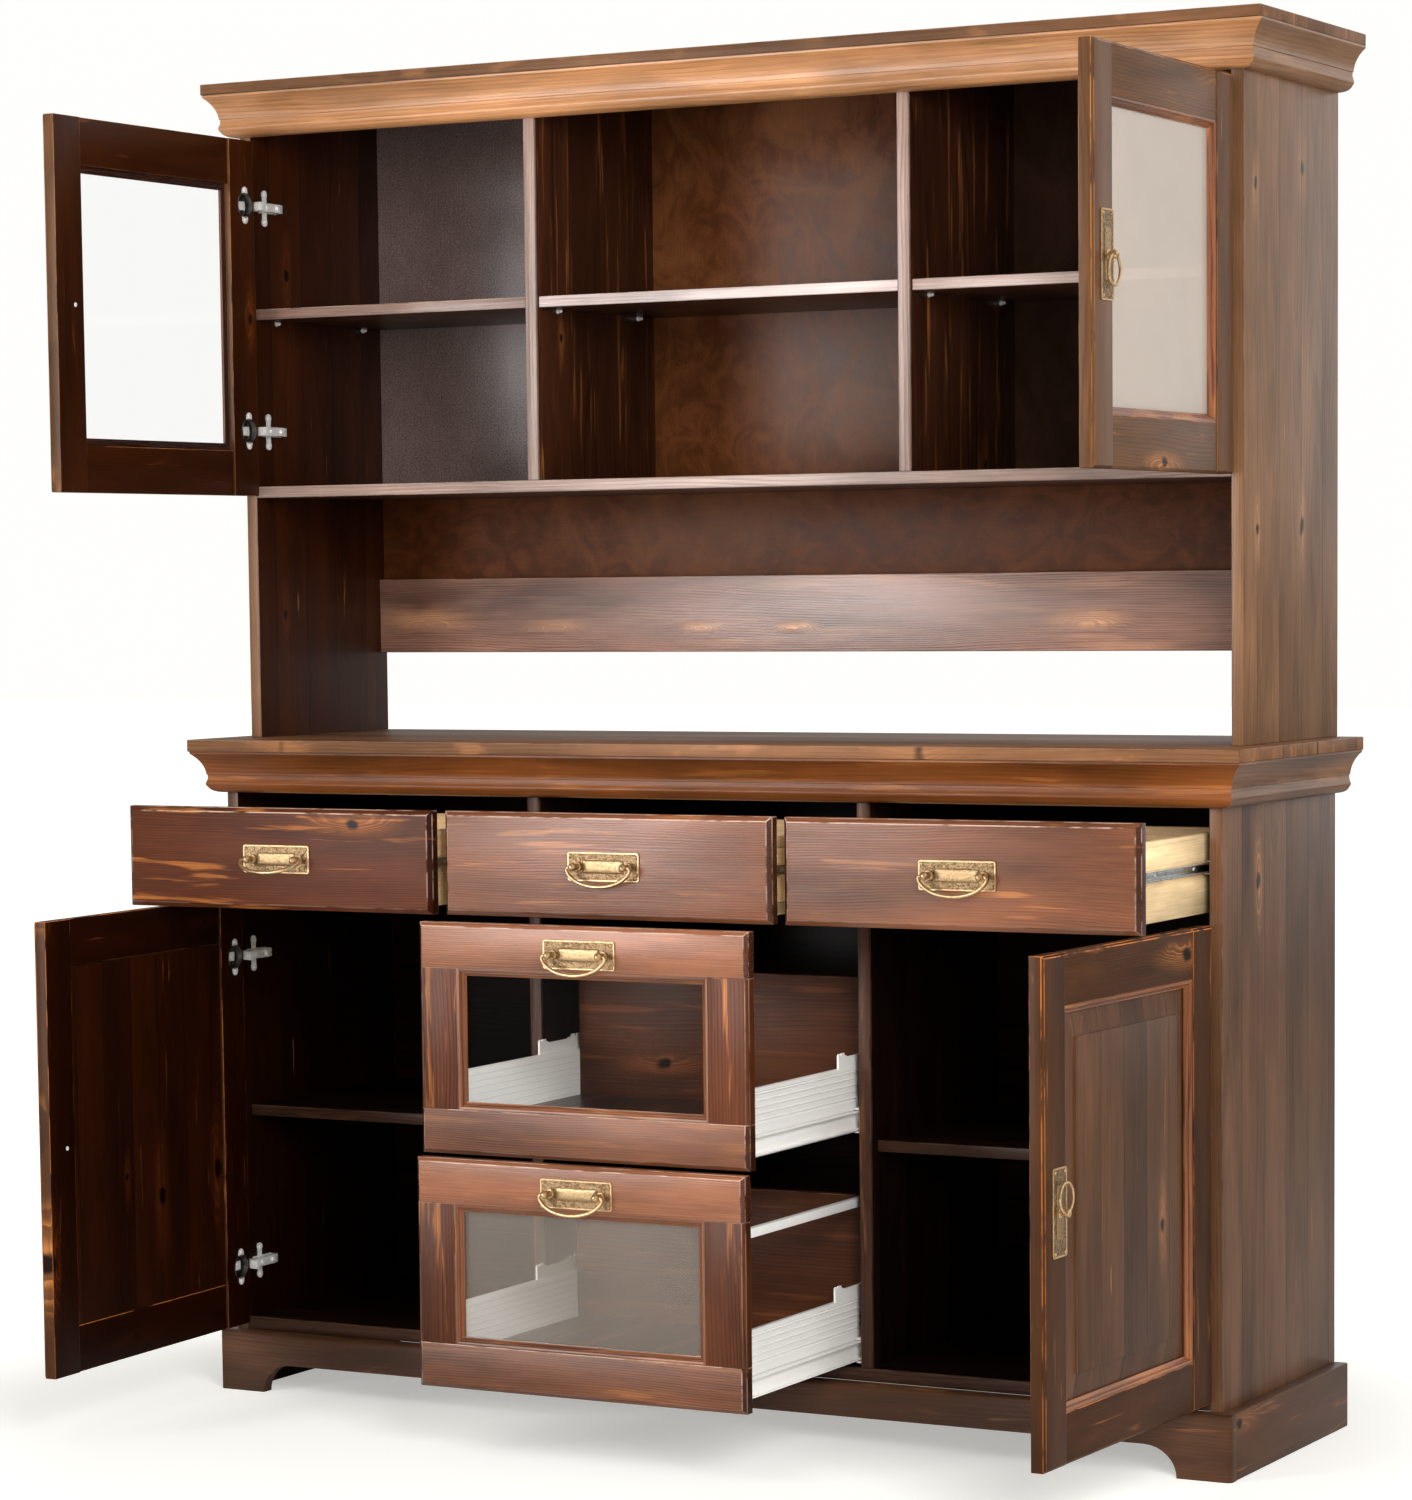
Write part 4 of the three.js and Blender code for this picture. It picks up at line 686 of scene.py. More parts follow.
front_wood = dict(streak=(4, 60), knots=0.55, rub_and_highlight=1.0, lines=0.6, growth=0.0036)
rail_wood = dict(streak=(4, 60), knots=0.2, rub_and_highlight=1.0, growth=0.003)
door_wood = dict(streaks=0.8, streak=(5, 80), sparse=0.64, lines=0.5, growth=0.0042)
front_pine = pine("front_pine", (0.2, 0.066, 0.027), (0.075, 0.023, 0.01), (0.6, 0.22, 0.055), (0.6, 0.4, 0.3),
                  **front_wood, streaks=0.7, sheen=0.28, sparse=0.6)
# Head rails of the glazed drawers: a lighter copy of the front stain, painted sheen.
rail_front_pine = pine("rail_front_pine", (0.28, 0.1, 0.044), (0.11, 0.036, 0.016), (0.5, 0.2, 0.06),
                       (0.6, 0.4, 0.3), **rail_wood, streaks=0.25, sheen=0.26, lines=0.7)
# Left top drawer: a much darker copy of the front stain, painted shade where the sheen misses it.
deep_front_pine = pine("deep_front_pine", (0.08, 0.021, 0.007), (0.034, 0.009, 0.004), (0.48, 0.16, 0.035),
                       (0.6, 0.4, 0.3), **front_wood, streaks=1.0, sparse=0.58, specular=0.12)
# Right top drawer: a slightly darker copy of the front stain, painted shade.
mellow_front_pine = pine("mellow_front_pine", (0.175, 0.058, 0.023), (0.066, 0.02, 0.009), (0.56, 0.21, 0.055),
                         (0.56, 0.37, 0.28), **front_wood, streaks=0.7, sheen=0.3, sparse=0.6, specular=0.38)
# Foot rails of the glazed drawers: a slightly darker copy of the front stain, painted shade.
low_front_pine = pine("low_front_pine", (0.16, 0.058, 0.027), (0.06, 0.02, 0.01), (0.5, 0.19, 0.05),
                      (0.6, 0.4, 0.3), **rail_wood, streaks=0.3, sheen=0.32, lines=0.85, specular=0.25)
# Stiles of the glazed drawers: a much darker copy of the front stain, painted shade.
stile_pine = pine("stile_pine", (0.1, 0.028, 0.01), (0.034, 0.009, 0.004), (0.44, 0.15, 0.035), (0.45, 0.27, 0.18),
                  streaks=0.9, streak=(5, 60), rub_and_highlight=0.9, sheen=0.38, specular=0.18)
door_pine = pine("door_pine", (0.056, 0.021, 0.008), (0.026, 0.01, 0.004), (0.4, 0.15, 0.04), (0.64, 0.2, 0.045),
                 **door_wood, rub_and_highlight=1.0, sheen=0.4, specular=0.07, hidden=(0.24, 0.12, 0.06))
hutch_door_pine = pine("hutch_door_pine", (0.11, 0.047, 0.018), (0.05, 0.02, 0.008), (0.46, 0.18, 0.05),
                       (0.55, 0.22, 0.07), **door_wood, rub_and_highlight=0.9, specular=0.15, hidden=(0.3, 0.16, 0.08))
field_pine = pine("field_pine", (0.08, 0.033, 0.014), (0.04, 0.016, 0.007), (0.46, 0.19, 0.065), (0.5, 0.22, 0.08),
                  stave=0.066, streaks=1.0, streak=(7, 120), knots=0.5, lines=0.4, specular=0.2, sparse=0.66,
                  growth=0.0042, hidden=(0.24, 0.12, 0.06))
bead_pine = pine("bead_pine", (0.19, 0.06, 0.02), (0.06, 0.018, 0.007), (0.5, 0.19, 0.05), (0.5, 0.32, 0.22),
                 knots=0.0, rub_and_highlight=0.4, sheen=0.28)
stile, door_rail, chamfer, rail_set_back = 0.058, 0.063, 0.003, 0.001
cup_from_edge, cup_hole, cup_floor = 0.0225, 0.017, 0.0024
# The door's back looks along +Y, and the door pieces give it painted shade.
door_start, door_face, door_back, inside = -0.006, -0.005, 0.014, (0, 1, 0)
Door = namedtuple("Door", "side angle width height cup_from_end")
doors = {
    "hutch_door_left": Door(-1, 90.5, 0.45815, 0.4975, 0.091),
    "hutch_door_right": Door(1, 91.0, 0.45815, 0.4975, 0.091),
    "base_door_left": Door(-1, 87.5, 0.48755, 0.6103, 0.084),
    "base_door_right": Door(1, 88.4, 0.48755, 0.6103, 0.084),
}
door_place = {}
for name, door in doors.items():
    opened = Matrix.Rotation(door.side * math.radians(door.angle), 4, "Z") @ Matrix.Diagonal((-door.side, 1, 1, 1))
    place = door_place[name] = Matrix.Translation(joint_at[name + "_swing"]) @ opened
    height, end = door.height, door_start + door.width
    low, high = (door_start + stile, door_rail), (end - stile, height - door_rail)
    cup_holes = [(door_start + cup_from_edge, z) for z in (door.cup_from_end, height - door.cup_from_end)]
    timber = Stock(name + "_stiles", place, inside)
    slab(timber, (door_start, 0), (low[0], height), door_face, door_back, (chamfer, 0, chamfer, chamfer), "z",
         holes=cup_holes, bold=True)
    slab(timber, (high[0], 0), (end, height), door_face, door_back, (0, chamfer, chamfer, chamfer), "z", bold=True)
    for z0, z1, cut in ((0, door_rail, (0, 0, chamfer, 0)), (high[1], height, (0, 0, 0, chamfer))):
        slab(timber, (low[0], z0), (high[0], z1), door_face + rail_set_back, door_back - 0.003, cut, "x")
    timber.piece(name, "front_pine", hutch_door_pine if name.startswith("hutch") else door_pine, name + "_frame")
    bead(Stock(name + "_bead", place, inside), low, high, door_face).piece(name, "front_pine", bead_pine)
    if name.startswith("base"):
        raised = ((0.0412, 0.0046), (0.0402, 0.005), (0.0398, 0.0072), (0.0092, 0.0118), (0.0013, 0.0118),
                  (0.0013, 0.0163))
        field = stacked([(corners(low, high, (inset,) * 4), door_face + y) for inset, y in raised])
        Stock(name + "_field", place, inside).take(field).piece(name, "front_pine", field_pine, name + "_panel")


# Door glass: plain float glass, held in the rebates. It mirrors what is bright beside it.
def pane(name, tint, dusty, film, shine, slanting=False):
    """Float glass with a film of dust and glare, which shows only along a slanting view where slanting is set."""
    f = Finish(name)
    smear = f.noise(f.spot(), scale=5.0, swirl=0.6)
    clear = f.add("ShaderNodeBsdfTransparent", {"Color": tint})
    mirror = f.add("ShaderNodeBsdfGlossy", {"Color": (1, 1, 1), "Roughness": 0.03})
    # A diffuse film: dust on most panes, and painted reflection on the right door's pane.
    film_of_dust_and_reflection = f.add("ShaderNodeBsdfDiffuse", {"Color": dusty})
    slant = f.add("ShaderNodeLayerWeight", {"Blend": 0.5}, "Facing")
    bare = f.add("ShaderNodeMixShader", {0: slant ** 5 * 0.9 + shine, 1: clear, 2: mirror})
    veil = film * (0.8 + 0.4 * smear)
    if slanting:
        veil = (veil * (slant * 1.92) ** 1.5).turn("MINIMUM", 0.9)
    whole = f.add("ShaderNodeMixShader", {0: veil, 1: bare, 2: film_of_dust_and_reflection})
    f.tree.nodes.remove(f.surface)
    f.put(f.tree.nodes["Material Output"].inputs["Surface"], whole)
    return f


clear_glass = pane("clear_glass", (0.995, 1.0, 0.998), (0.8, 0.79, 0.76), film=0.004, shine=0.016)
still_glass = pane("still_glass", (0.995, 1.0, 0.998), (0.8, 0.79, 0.76), film=0.002, shine=0.0006)
hazy_glass = pane("hazy_glass", (0.97, 0.98, 0.975), (0.76, 0.6, 0.48), film=0.08, shine=0.034)
# The right door's pane: its heavy, brownish film, thicker along slanting views, is painted reflection of the bright
# surround.
bright_glass = pane("bright_glass", (0.95, 0.96, 0.955), (0.66, 0.56, 0.48), film=0.37, shine=0.04, slanting=True)
for node, finish in (("hutch_door_left_glass", clear_glass), ("hutch_door_right_glass", bright_glass),
                     ("glazed_drawer_upper_glass", still_glass), ("glazed_drawer_lower_glass", hazy_glass)):
    frame["nodes"][node].data.materials.clear()
    frame["nodes"][node].data.materials.append(finish.material)


# Concealed hinges: a nickel cup pressed into each door with a flange on two screws, and an arm
# on a winged mounting plate screwed to the cabinet side, with its setting screws. The cup's rim and lining are
# darker, painted shade.
def turned(stock, profile, origin, axis, closed=False):
    """A shape turned on an axis, from (radius, distance) pairs; a ring where the pairs close on themselves."""
    axis = Vector(axis)
    first = axis.orthogonal().normalized()
    second = axis.cross(first)
    spokes = [first * math.cos(a) + second * math.sin(a) for a in full_turn(28)]
    rings = [[Vector(origin) + axis * far + spoke * max(radius, 1e-5) for spoke in spokes] for radius, far in profile]
    return stock.take(skin(rings, closed))


def lobed(half, lobe, waist, steps=10):
    """The outline of a plate with a round lobe at each end and a narrower waist."""
    spread = math.asin(waist / lobe)
    turns = [spread + (2 * math.pi - 2 * spread) * i / steps for i in range(steps + 1)]
    upper = [(-lobe * math.sin(a), half - lobe * math.cos(a)) for a in turns]
    return upper + [(-x, -z) for x, z in upper]


def moved_to(place, point, facing):
    """A point and the way it faces, brought to a place."""
    return place @ Vector(point), place.to_3x3() @ Vector(facing)


screw_tree = Pattern("cross screws", Head=0.0032, Dome=0.5, Slot=0.0007)
head, slot = screw_tree.size("Head"), screw_tree.size("Slot")
screw = screw_tree.domed(18)
lift = screw_tree.point(0.0, 0.0, head * screw_tree.size("Dome"))
for x, y in ((head * 1.3, slot), (slot, head * 1.3)):
    bar = screw_tree.add("GeometryNodeMeshCube", {"Size": screw_tree.point(x, y, head * 0.5)})
    cut = {"Mesh 1": screw, "Mesh 2": screw_tree.moved(bar, Translation=lift)}
    screw = screw_tree.add("GeometryNodeMeshBoolean", cut, operation="DIFFERENCE")
screw_tree.end(screw, nickel)
# The cup's rim and lining are a dark steel: painted shade inside the cup.
dark_steel = metal("dark_steel", (0.2, 0.19, 0.18), (0.1, 0.1, 0.1), roughness=0.4, clouds=90)
rim = [(0.0157, 0.0137), (0.0176, 0.0137), (0.0176, 0.0145), (0.0171, 0.015), (0.0162, 0.015), (0.0157, 0.0145)]
lining = [(0.0, 0.0026), (0.0168, 0.0026), (0.0168, 0.0139), (0.0158, 0.0139), (0.0158, 0.0044), (0.0146, 0.0036),
          (0.0, 0.0036)]
ear_radius, ear_root, ear_middle, flange_face = 0.0065, 0.0155, 0.0195, 0.0148
half_turn = [math.pi * i / 8 for i in range(9)]
ear = [(ear_radius, ear_root), (-ear_radius, ear_root)]
ear[1:1] = [(ear_radius * math.cos(a), ear_middle + ear_radius * math.sin(a)) for a in half_turn]
arm_outline = [(0.0062, 0.078), (0.0062, 0.0146), (0.0114, 0.0112), (0.0143, 0.0068), (0.026, 0.0068),
               (0.026, 0.0148), (0.0178, 0.022), (0.0178, 0.066), (0.0145, 0.078)]
arm_half, wing_middle, wing_face = 0.0062, 0.047, 0.0048
wings = lobed(ear_middle, 0.006, 0.0045)
arm_screws = ((wing_face, wing_middle, ear_middle), (wing_face, wing_middle, -ear_middle), (0.0178, 0.034, 0),
              (0.0188, 0.06, 0))
arm_places = []
for name, door in doors.items():
    place = door_place[name]
    cups, wells = Stock(name + "_hinge_cups", place), Stock(name + "_hinge_wells", place)
    flange_screws = []
    x = door_start + cup_from_edge
    for end, z in (("lower", door.cup_from_end), ("upper", door.height - door.cup_from_end)):
        for up in (-1, 1):
            flange = [(x + px, z + up * pz) for px, pz in ear]
            cups.take(stacked([(flange, 0.0136), (flange, flange_face)]))
            flange_screws.append(moved_to(place, (x, flange_face, z + up * 0.0212), inside))
        turned(wells, rim, (x, 0, z), inside, closed=True)
        turned(wells, lining, (x, 0, z), inside)
        cups.plank((x - 0.0115, 0.0034, z - arm_half), (x + 0.0115, 0.0062, z + arm_half), "x", 0.0006)
        pin_point = joint_at[name + "_swing"] + Vector((0, 0, z))
        arm_place = Matrix.Translation(pin_point) @ Matrix.Diagonal((-door.side, 1, 1, 1))
        arm = Stock(f"{name}_arm_{end}", arm_place)
        shape = skin([[(out, y, up) for out, y in arm_outline] for up in (-arm_half, arm_half)])
        eased(shape, sharp(shape), 0.0012)
        arm.take(shape, "y")
        arm.take(skin([[(out, wing_middle + y, up) for y, up in wings] for out in (0.003, wing_face)]))
        arm.plank((0.003, 0.03, -0.0072), (0.0075, 0.074, 0.0072), "y", 0.001)
        turned(arm, [(0.0042, 0), (0.0042, 0.0012), (0.0036, 0.0018)], (0.0172, 0.06, 0), (1, 0, 0))
        arm.piece("carcass", "nickel_steel", nickel, f"{name}_hinge_{end}")
        arm_places += [moved_to(arm_place, point, (1, 0, 0)) for point in arm_screws]
    cups.piece(name, "nickel_steel", nickel)
    wells.piece(name, "nickel_steel", dark_steel)
    if door.side < 0:
        catch = (door_start + door.width - 0.04, door_back, door.height / 2)
        flange_screws.append(moved_to(place, catch, inside))
    screw_tree.grow(name + "_hinge_screws", flange_screws, name, "nickel_steel", nickel)
screw_tree.grow("hinge_arm_screws", arm_places, "carcass", "nickel_steel", nickel)


# Door pulls: an aged brass plate with a raised rim, nailed at its corners, and a ring through its post.
# Drawer handles: a wider plate of the same make, two turned posts, and a bail that swings between them.
def aged_brass(name, bright, patina, hammered):
    """Brass with grime in its dents, which are as deep as hammered says."""
    f = Finish(name)
    dents = f.add("ShaderNodeTexVoronoi", {"Vector": f.spot(), "Scale": 850.0})
    stain = f.noise(f.spot(), detail=5.0, rough=0.62, scale=330.0)
    grime = (stain.rise(0.42, 0.66) * 0.6 + dents.rise(0.3, 0.6) * 0.6 * hammered).turn("MINIMUM", 1.0)
    f.dress(Base_Color=f.blend(grime, bright, patina), Metallic=1.0, Roughness=0.3 + 0.26 * grime)
    return f.dress(Normal=f.relief(dents * hammered + stain * 0.3, 0.0005, 0.5))


def plate_outline(width, height, inset, radius, steps=6):
    """The outline of a plate with round corners, drawn in by inset."""
    reach = max(radius - inset, 0.0006)
    points = []
    for cx, cz, start in ((1, 1, 0), (-1, 1, 1), (-1, -1, 2), (1, -1, 3)):
        for i in range(steps + 1):
            a = (start + i / steps) * math.pi / 2
            x = cx * (width / 2 - inset - reach) + reach * math.cos(a)
            points.append((x, cz * (height / 2 - inset - reach) + reach * math.sin(a)))
    return points


def plate(name, place, width, height):
    """A smooth rim and a worn raised band; the sunk field between them is hammered and holds its patina."""
    band = (0.58 * width, 0.45 * height) if width > height else (0.45 * width, 0.6 * height)
    for part, size, radius, finish, levels in (
        ("_plate", (width, height), 0.0036, brass,
         ((0, 0), (0, 0.0015), (0.0005, 0.002), (0.0019, 0.002), (0.0025, 0.0014))),
        ("_boss", band, 0.002, worn_brass,
         ((0, 0.001), (0, 0.0018), (0.0006, 0.0023), (0.0018, 0.0027), (0.0038, 0.003), (0.006, 0.0031))),
        ("_field", (width, height), 0.0036, hammered_brass,
         ((0.0022, 0.0012), (0.0022, 0.0016), (0.003, 0.0016))),
    ):
        shape = stacked([(plate_outline(*size, inset, radius), -rise) for inset, rise in levels])
        Stock(name + part, place).take(shape).piece(name, "antique_brass", finish)
    x, z = width / 2 - 0.0054, height / 2 - 0.0054
    nails = [moved_to(place, (sx * x, -0.0016, sz * z), (0, -1, 0)) for sx in (-1, 1) for sz in (-1, 1)]
    nail_tree.grow(name + "_nails", nails, name, "antique_brass", brass)


def wire(stock, path, radii, closed=False):
    """A drawn wire along points that lie in an upright plane facing the front."""
    flat = Vector((0, 1, 0))
    rings = []
    for i, (point, radius) in enumerate(zip(path, radii)):
        before = path[i - 1] if closed or i else path[0]
        after = path[(i + 1) % len(path)] if closed or i + 1 < len(path) else path[-1]
        out = (Vector(after) - Vector(before)).normalized().cross(flat)
        rings.append([Vector(point) + (out * math.cos(a) + flat * math.sin(a)) * radius for a in full_turn(12)])
    return stock.take(skin(rings, closed))


def swept(knots, parts=4):
    """Points on a smooth curve through (x, z) knots, with both of its ends."""
    knots = [Vector(knot) for knot in knots]
    last = len(knots) - 1
    path = []
    for i in range(last):
        a, b, c, d = (knots[min(max(i + k, 0), last)] for k in (-1, 0, 1, 2))
        for t in [part / parts for part in range(parts)]:
            path.append(0.5 * (2 * b + (c - a) * t + (2 * a - 5 * b + 4 * c - d) * t * t
                               + (3 * b - a - 3 * c + d) * t ** 3))
    return [(x, 0, z) for x, z in path + knots[-1:]]


brass = aged_brass("brass", (0.8, 0.55, 0.305), (0.5, 0.315, 0.145), hammered=0.15)
worn_brass = aged_brass("worn_brass", (0.5, 0.345, 0.19), (0.3, 0.19, 0.09), hammered=0.45)
hammered_brass = aged_brass("hammered_brass", (0.52, 0.35, 0.195), (0.15, 0.088, 0.043), hammered=1.0)
nail_tree = Pattern("plate nails", Head=0.0024, Dome=0.75)
nail_tree.end(nail_tree.domed(16), brass)
pull_plate, ring_radius, ring_reach, ring_steps = (0.038, 0.107), 0.018, 0.010, 72
pull_post = [(0.0066, 0.001), (0.0066, 0.003), (0.0042, 0.0045), (0.004, 0.0068), (0.0056, 0.0088),
             (0.0056, 0.0112), (0.0046, 0.0142), (0.002, 0.0156), (0, 0.0158)]
for name, door in doors.items():
    on_door = Matrix.Translation((door_start + door.width - 0.0395, door_face, door.height / 2))
    place = door_place[name] @ on_door
    plate(name, place, *pull_plate)
    post = turned(Stock(name + "_post", place), pull_post, (0, 0, 0), (0, -1, 0))
    post.piece(name, "antique_brass", brass)
    lift = -1 if name == "base_door_right" else 1
    path = [(ring_radius * math.cos(a), 0, lift * ring_radius * (math.sin(a) - 1)) for a in full_turn(ring_steps)]
    loop = Stock(name + "_loop", place @ Matrix.Translation((0, -ring_reach, 0)))
    wire(loop, path, [0.0019] * ring_steps, closed=True).piece(name + "_pull", "antique_brass", brass, name + "_ring")

bail_angle = {"top_drawer_left": 50, "top_drawer_middle": 4, "top_drawer_right": 4, "glazed_drawer_upper": 8,
              "glazed_drawer_lower": 8}
handle_plate, post_half, post_reach, post_ball = (0.106, 0.038), 0.0375, 0.015, 0.0054
bail_half, bail_drop = 0.047, 0.0252
post_profile = [(0.006, 0), (0.0062, 0.0012), (0.0058, 0.0024), (0.0042, 0.003), (0.0034, 0.0045),
                (0.0033, 0.0085), (0.0042, 0.0102)]
ball_turns = [math.pi * (0.3 + 0.07 * i) for i in range(11)]
post_profile += [(post_ball * math.sin(a), post_reach - post_ball * math.cos(a)) for a in ball_turns]
bail_shares = ((0.97, 0.05), (0.99, 0.18), (0.91, 0.42), (0.75, 0.66), (0.53, 0.85), (0.27, 0.96))
half_bail = [(post_half, 0), (post_half + post_ball, 0)]
half_bail += [(out * bail_half, -down * bail_drop) for out, down in bail_shares]
bail_path = swept(half_bail + [(0, -bail_drop)] + [(-x, z) for x, z in half_bail[::-1]])
bail_end = len(bail_path) - 1
bail_radii = [0.0018 + 0.0009 * math.sin(math.pi * i / bail_end) for i in range(bail_end + 1)]
for name, swing in bail_angle.items():
    pivot = joint_at[name + "_bail_swing"]
    on_face = Matrix.Translation((pivot.x, pivot.y + post_reach, pivot.z))
    plate(name, on_face, *handle_plate)
    posts = Stock(name + "_posts", on_face)
    for x in (-post_half, post_half):
        turned(posts, post_profile, (x, -0.0018, 0), (0, -1, 0))
    posts.piece(name, "antique_brass", brass)
    hung = Stock(name + "_grip", Matrix.Translation(pivot) @ Matrix.Rotation(-math.radians(swing), 4, "X"))
    wire(hung, bail_path, bail_radii).piece(name + "_handle", "antique_brass", brass, name + "_bail")


# Top drawers: a solid front with wide chamfers, screwed to a box of bare pine: two sides, a back,
# an inner front and a loose bottom in its grooves. They run on zinc ball-bearing runners.
def channel(stock, face, out, ends, middle, high, web, flange, inner, ease=0.0004):
    """A runner member on an upright face: a web, with a flange above and below that starts at the share inner."""
    for bottom, top, deep in ((-0.5, 0.5, web), (-0.5, -inner, flange), (inner, 0.5, flange)):
        near = (face, ends[0], middle + bottom * high)
        stock.plank(near, (face + out * deep, ends[1], middle + top * high), "y", ease)


raw_pine = pine("raw_pine", (0.9, 0.65, 0.36), (0.68, 0.44, 0.19), (0.7, 0.42, 0.18), (0.9, 0.7, 0.44),
                stave=0.07, streaks=0.3, knots=0.06, rub_and_highlight=0.3, sheen=0.55, lines=0.35)
zinc = metal("zinc", (0.72, 0.72, 0.7), (0.45, 0.45, 0.44), roughness=0.3, clouds=120)
black_nylon = Finish("black_nylon")
speck = black_nylon.noise(black_nylon.spot(), scale=900.0)
black_nylon.dress(Base_Color=black_nylon.blend(speck, (0.012, 0.012, 0.013), (0.03, 0.03, 0.032)))
black_nylon.dress(Roughness=0.35 + 0.2 * speck)
front_board, wall, bar_deep, bar_high, runner_z = 0.019, 0.012, 0.0106, 0.0128, 0.7793
for name, finish in (("top_drawer_left", deep_front_pine), ("top_drawer_middle", front_pine),
                     ("top_drawer_right", mellow_front_pine)):
    low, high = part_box(name + "_front")
    face = joint_at[name + "_bail_swing"].y + post_reach
    front, cut = Stock(name + "_face"), (0.006,) * 4
    slab(front, (low.x, low.z), (high.x, high.z), face, face + front_board, cut, "x", 0.001).piece(
        name, "front_pine", finish, name + "_front")
    low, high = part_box(name + "_box")
    x0, x1, y0, y1, z0, z1 = low.x + bar_deep, high.x - bar_deep, low.y, high.y, low.z, high.z
    box = Stock(name + "_case")
    box.plank((x0, y0, z0), (x0 + wall, y1, z1), "y", 0.0008)
    box.plank((x1 - wall, y0, z0), (x1, y1, z1), "y", 0.0008)
    box.plank((x0 + wall, y0, z0), (x1 - wall, y0 + wall, z1), "x", 0.0008)
    box.plank((x0 + wall, y1 - wall, z0), (x1 - wall, y1, z1), "x", 0.0008)
    box.plank((x0 + wall, y0 + wall, z0 + 0.010), (x1 - wall, y1 - wall, z0 + 0.016), "x", 0.0003)
    box.piece(name, "raw_pine", raw_pine, name + "_box")
    bars = Stock(name + "_runner_bars")
    dots = []
    for x, out in ((x0, -1), (x1, 1)):
        channel(bars, x, out, (y0 + 0.004, y1 - 0.002), runner_z, bar_high, web=0.0016, flange=bar_deep, inner=0.36)
        dots += [((x + out * 0.0016, y0 + y, runner_z), (out, 0, 0)) for y in (0.035, 0.075, 0.2, 0.3)]
    bars.piece(name, "nickel_steel", zinc)
    screw_tree.grow(name + "_runner_screws", dots, name, "nickel_steel", nickel, Head=0.0026)

# Glazed drawers: a front framed with long rails and short stiles round a pane. The box has white metal
# sides with pressed ribs, a rolled top and a rear bracket, a bottom darkened with painted shade and a pine back
# board.
rear_pine = pine("rear_pine", (0.073, 0.024, 0.01), (0.034, 0.011, 0.005), (0.24, 0.075, 0.025), (0.3, 0.17, 0.12),
                 streak=(4, 60), knots=0.5, lines=0.5, specular=0.1)
powder_coat = Finish("powder_coat")
orange_peel = powder_coat.noise(powder_coat.spot(), scale=1100.0, detail=1.0)
dusty = powder_coat.noise(powder_coat.spot(), scale=14.0)
powder_coat.dress(Base_Color=powder_coat.blend(dusty, (1.0, 0.975, 0.94), (0.95, 0.93, 0.89)))
powder_coat.dress(Roughness=0.32 + 0.12 * dusty, Normal=powder_coat.relief(orange_peel, 0.0002, 0.25))
rib_tree = Pattern("side ribs", Length=0.36, Radius=0.0013)
rib_tree.end(rib_tree.rod(10, rib_tree.size("Radius"), rib_tree.size("Length")), powder_coat)
long_rail, side_high, side_thick, tray_length, tray_half = 0.059, 0.088, 0.011, 0.370, 0.22975
rolled = [(0, 0), (0.0095, 0), (0.011, 0.0015), (0.011, 0.0835), (0.0095, 0.0862), (0.0065, 0.088), (0.001, 0.088),
          (-0.0002, 0.0868), (-0.0002, 0.083), (0.0012, 0.0815), (0.0012, 0.043), (0.0002, 0.0415),
          (0.0002, 0.036), (0, 0.034)]
bracket = [(0.11, -0.003), (0, -0.003), (0, 0.020), (0.008, 0.020), (0.008, 0.0165), (0.014, 0.0165),
           (0.014, 0.020), (0.022, 0.020), (0.022, 0.0165), (0.030, 0.0165), (0.034, 0.0145), (0.084, 0.0145),
           (0.088, 0.0165), (0.092, 0.0165), (0.092, 0.020), (0.1, 0.020), (0.104, 0.016), (0.107, 0.02),
           (0.11, 0.018)]
rib_pitch, first_rib, back_thick, tray_runner = 0.0085, 0.012, 0.016, 0.0165
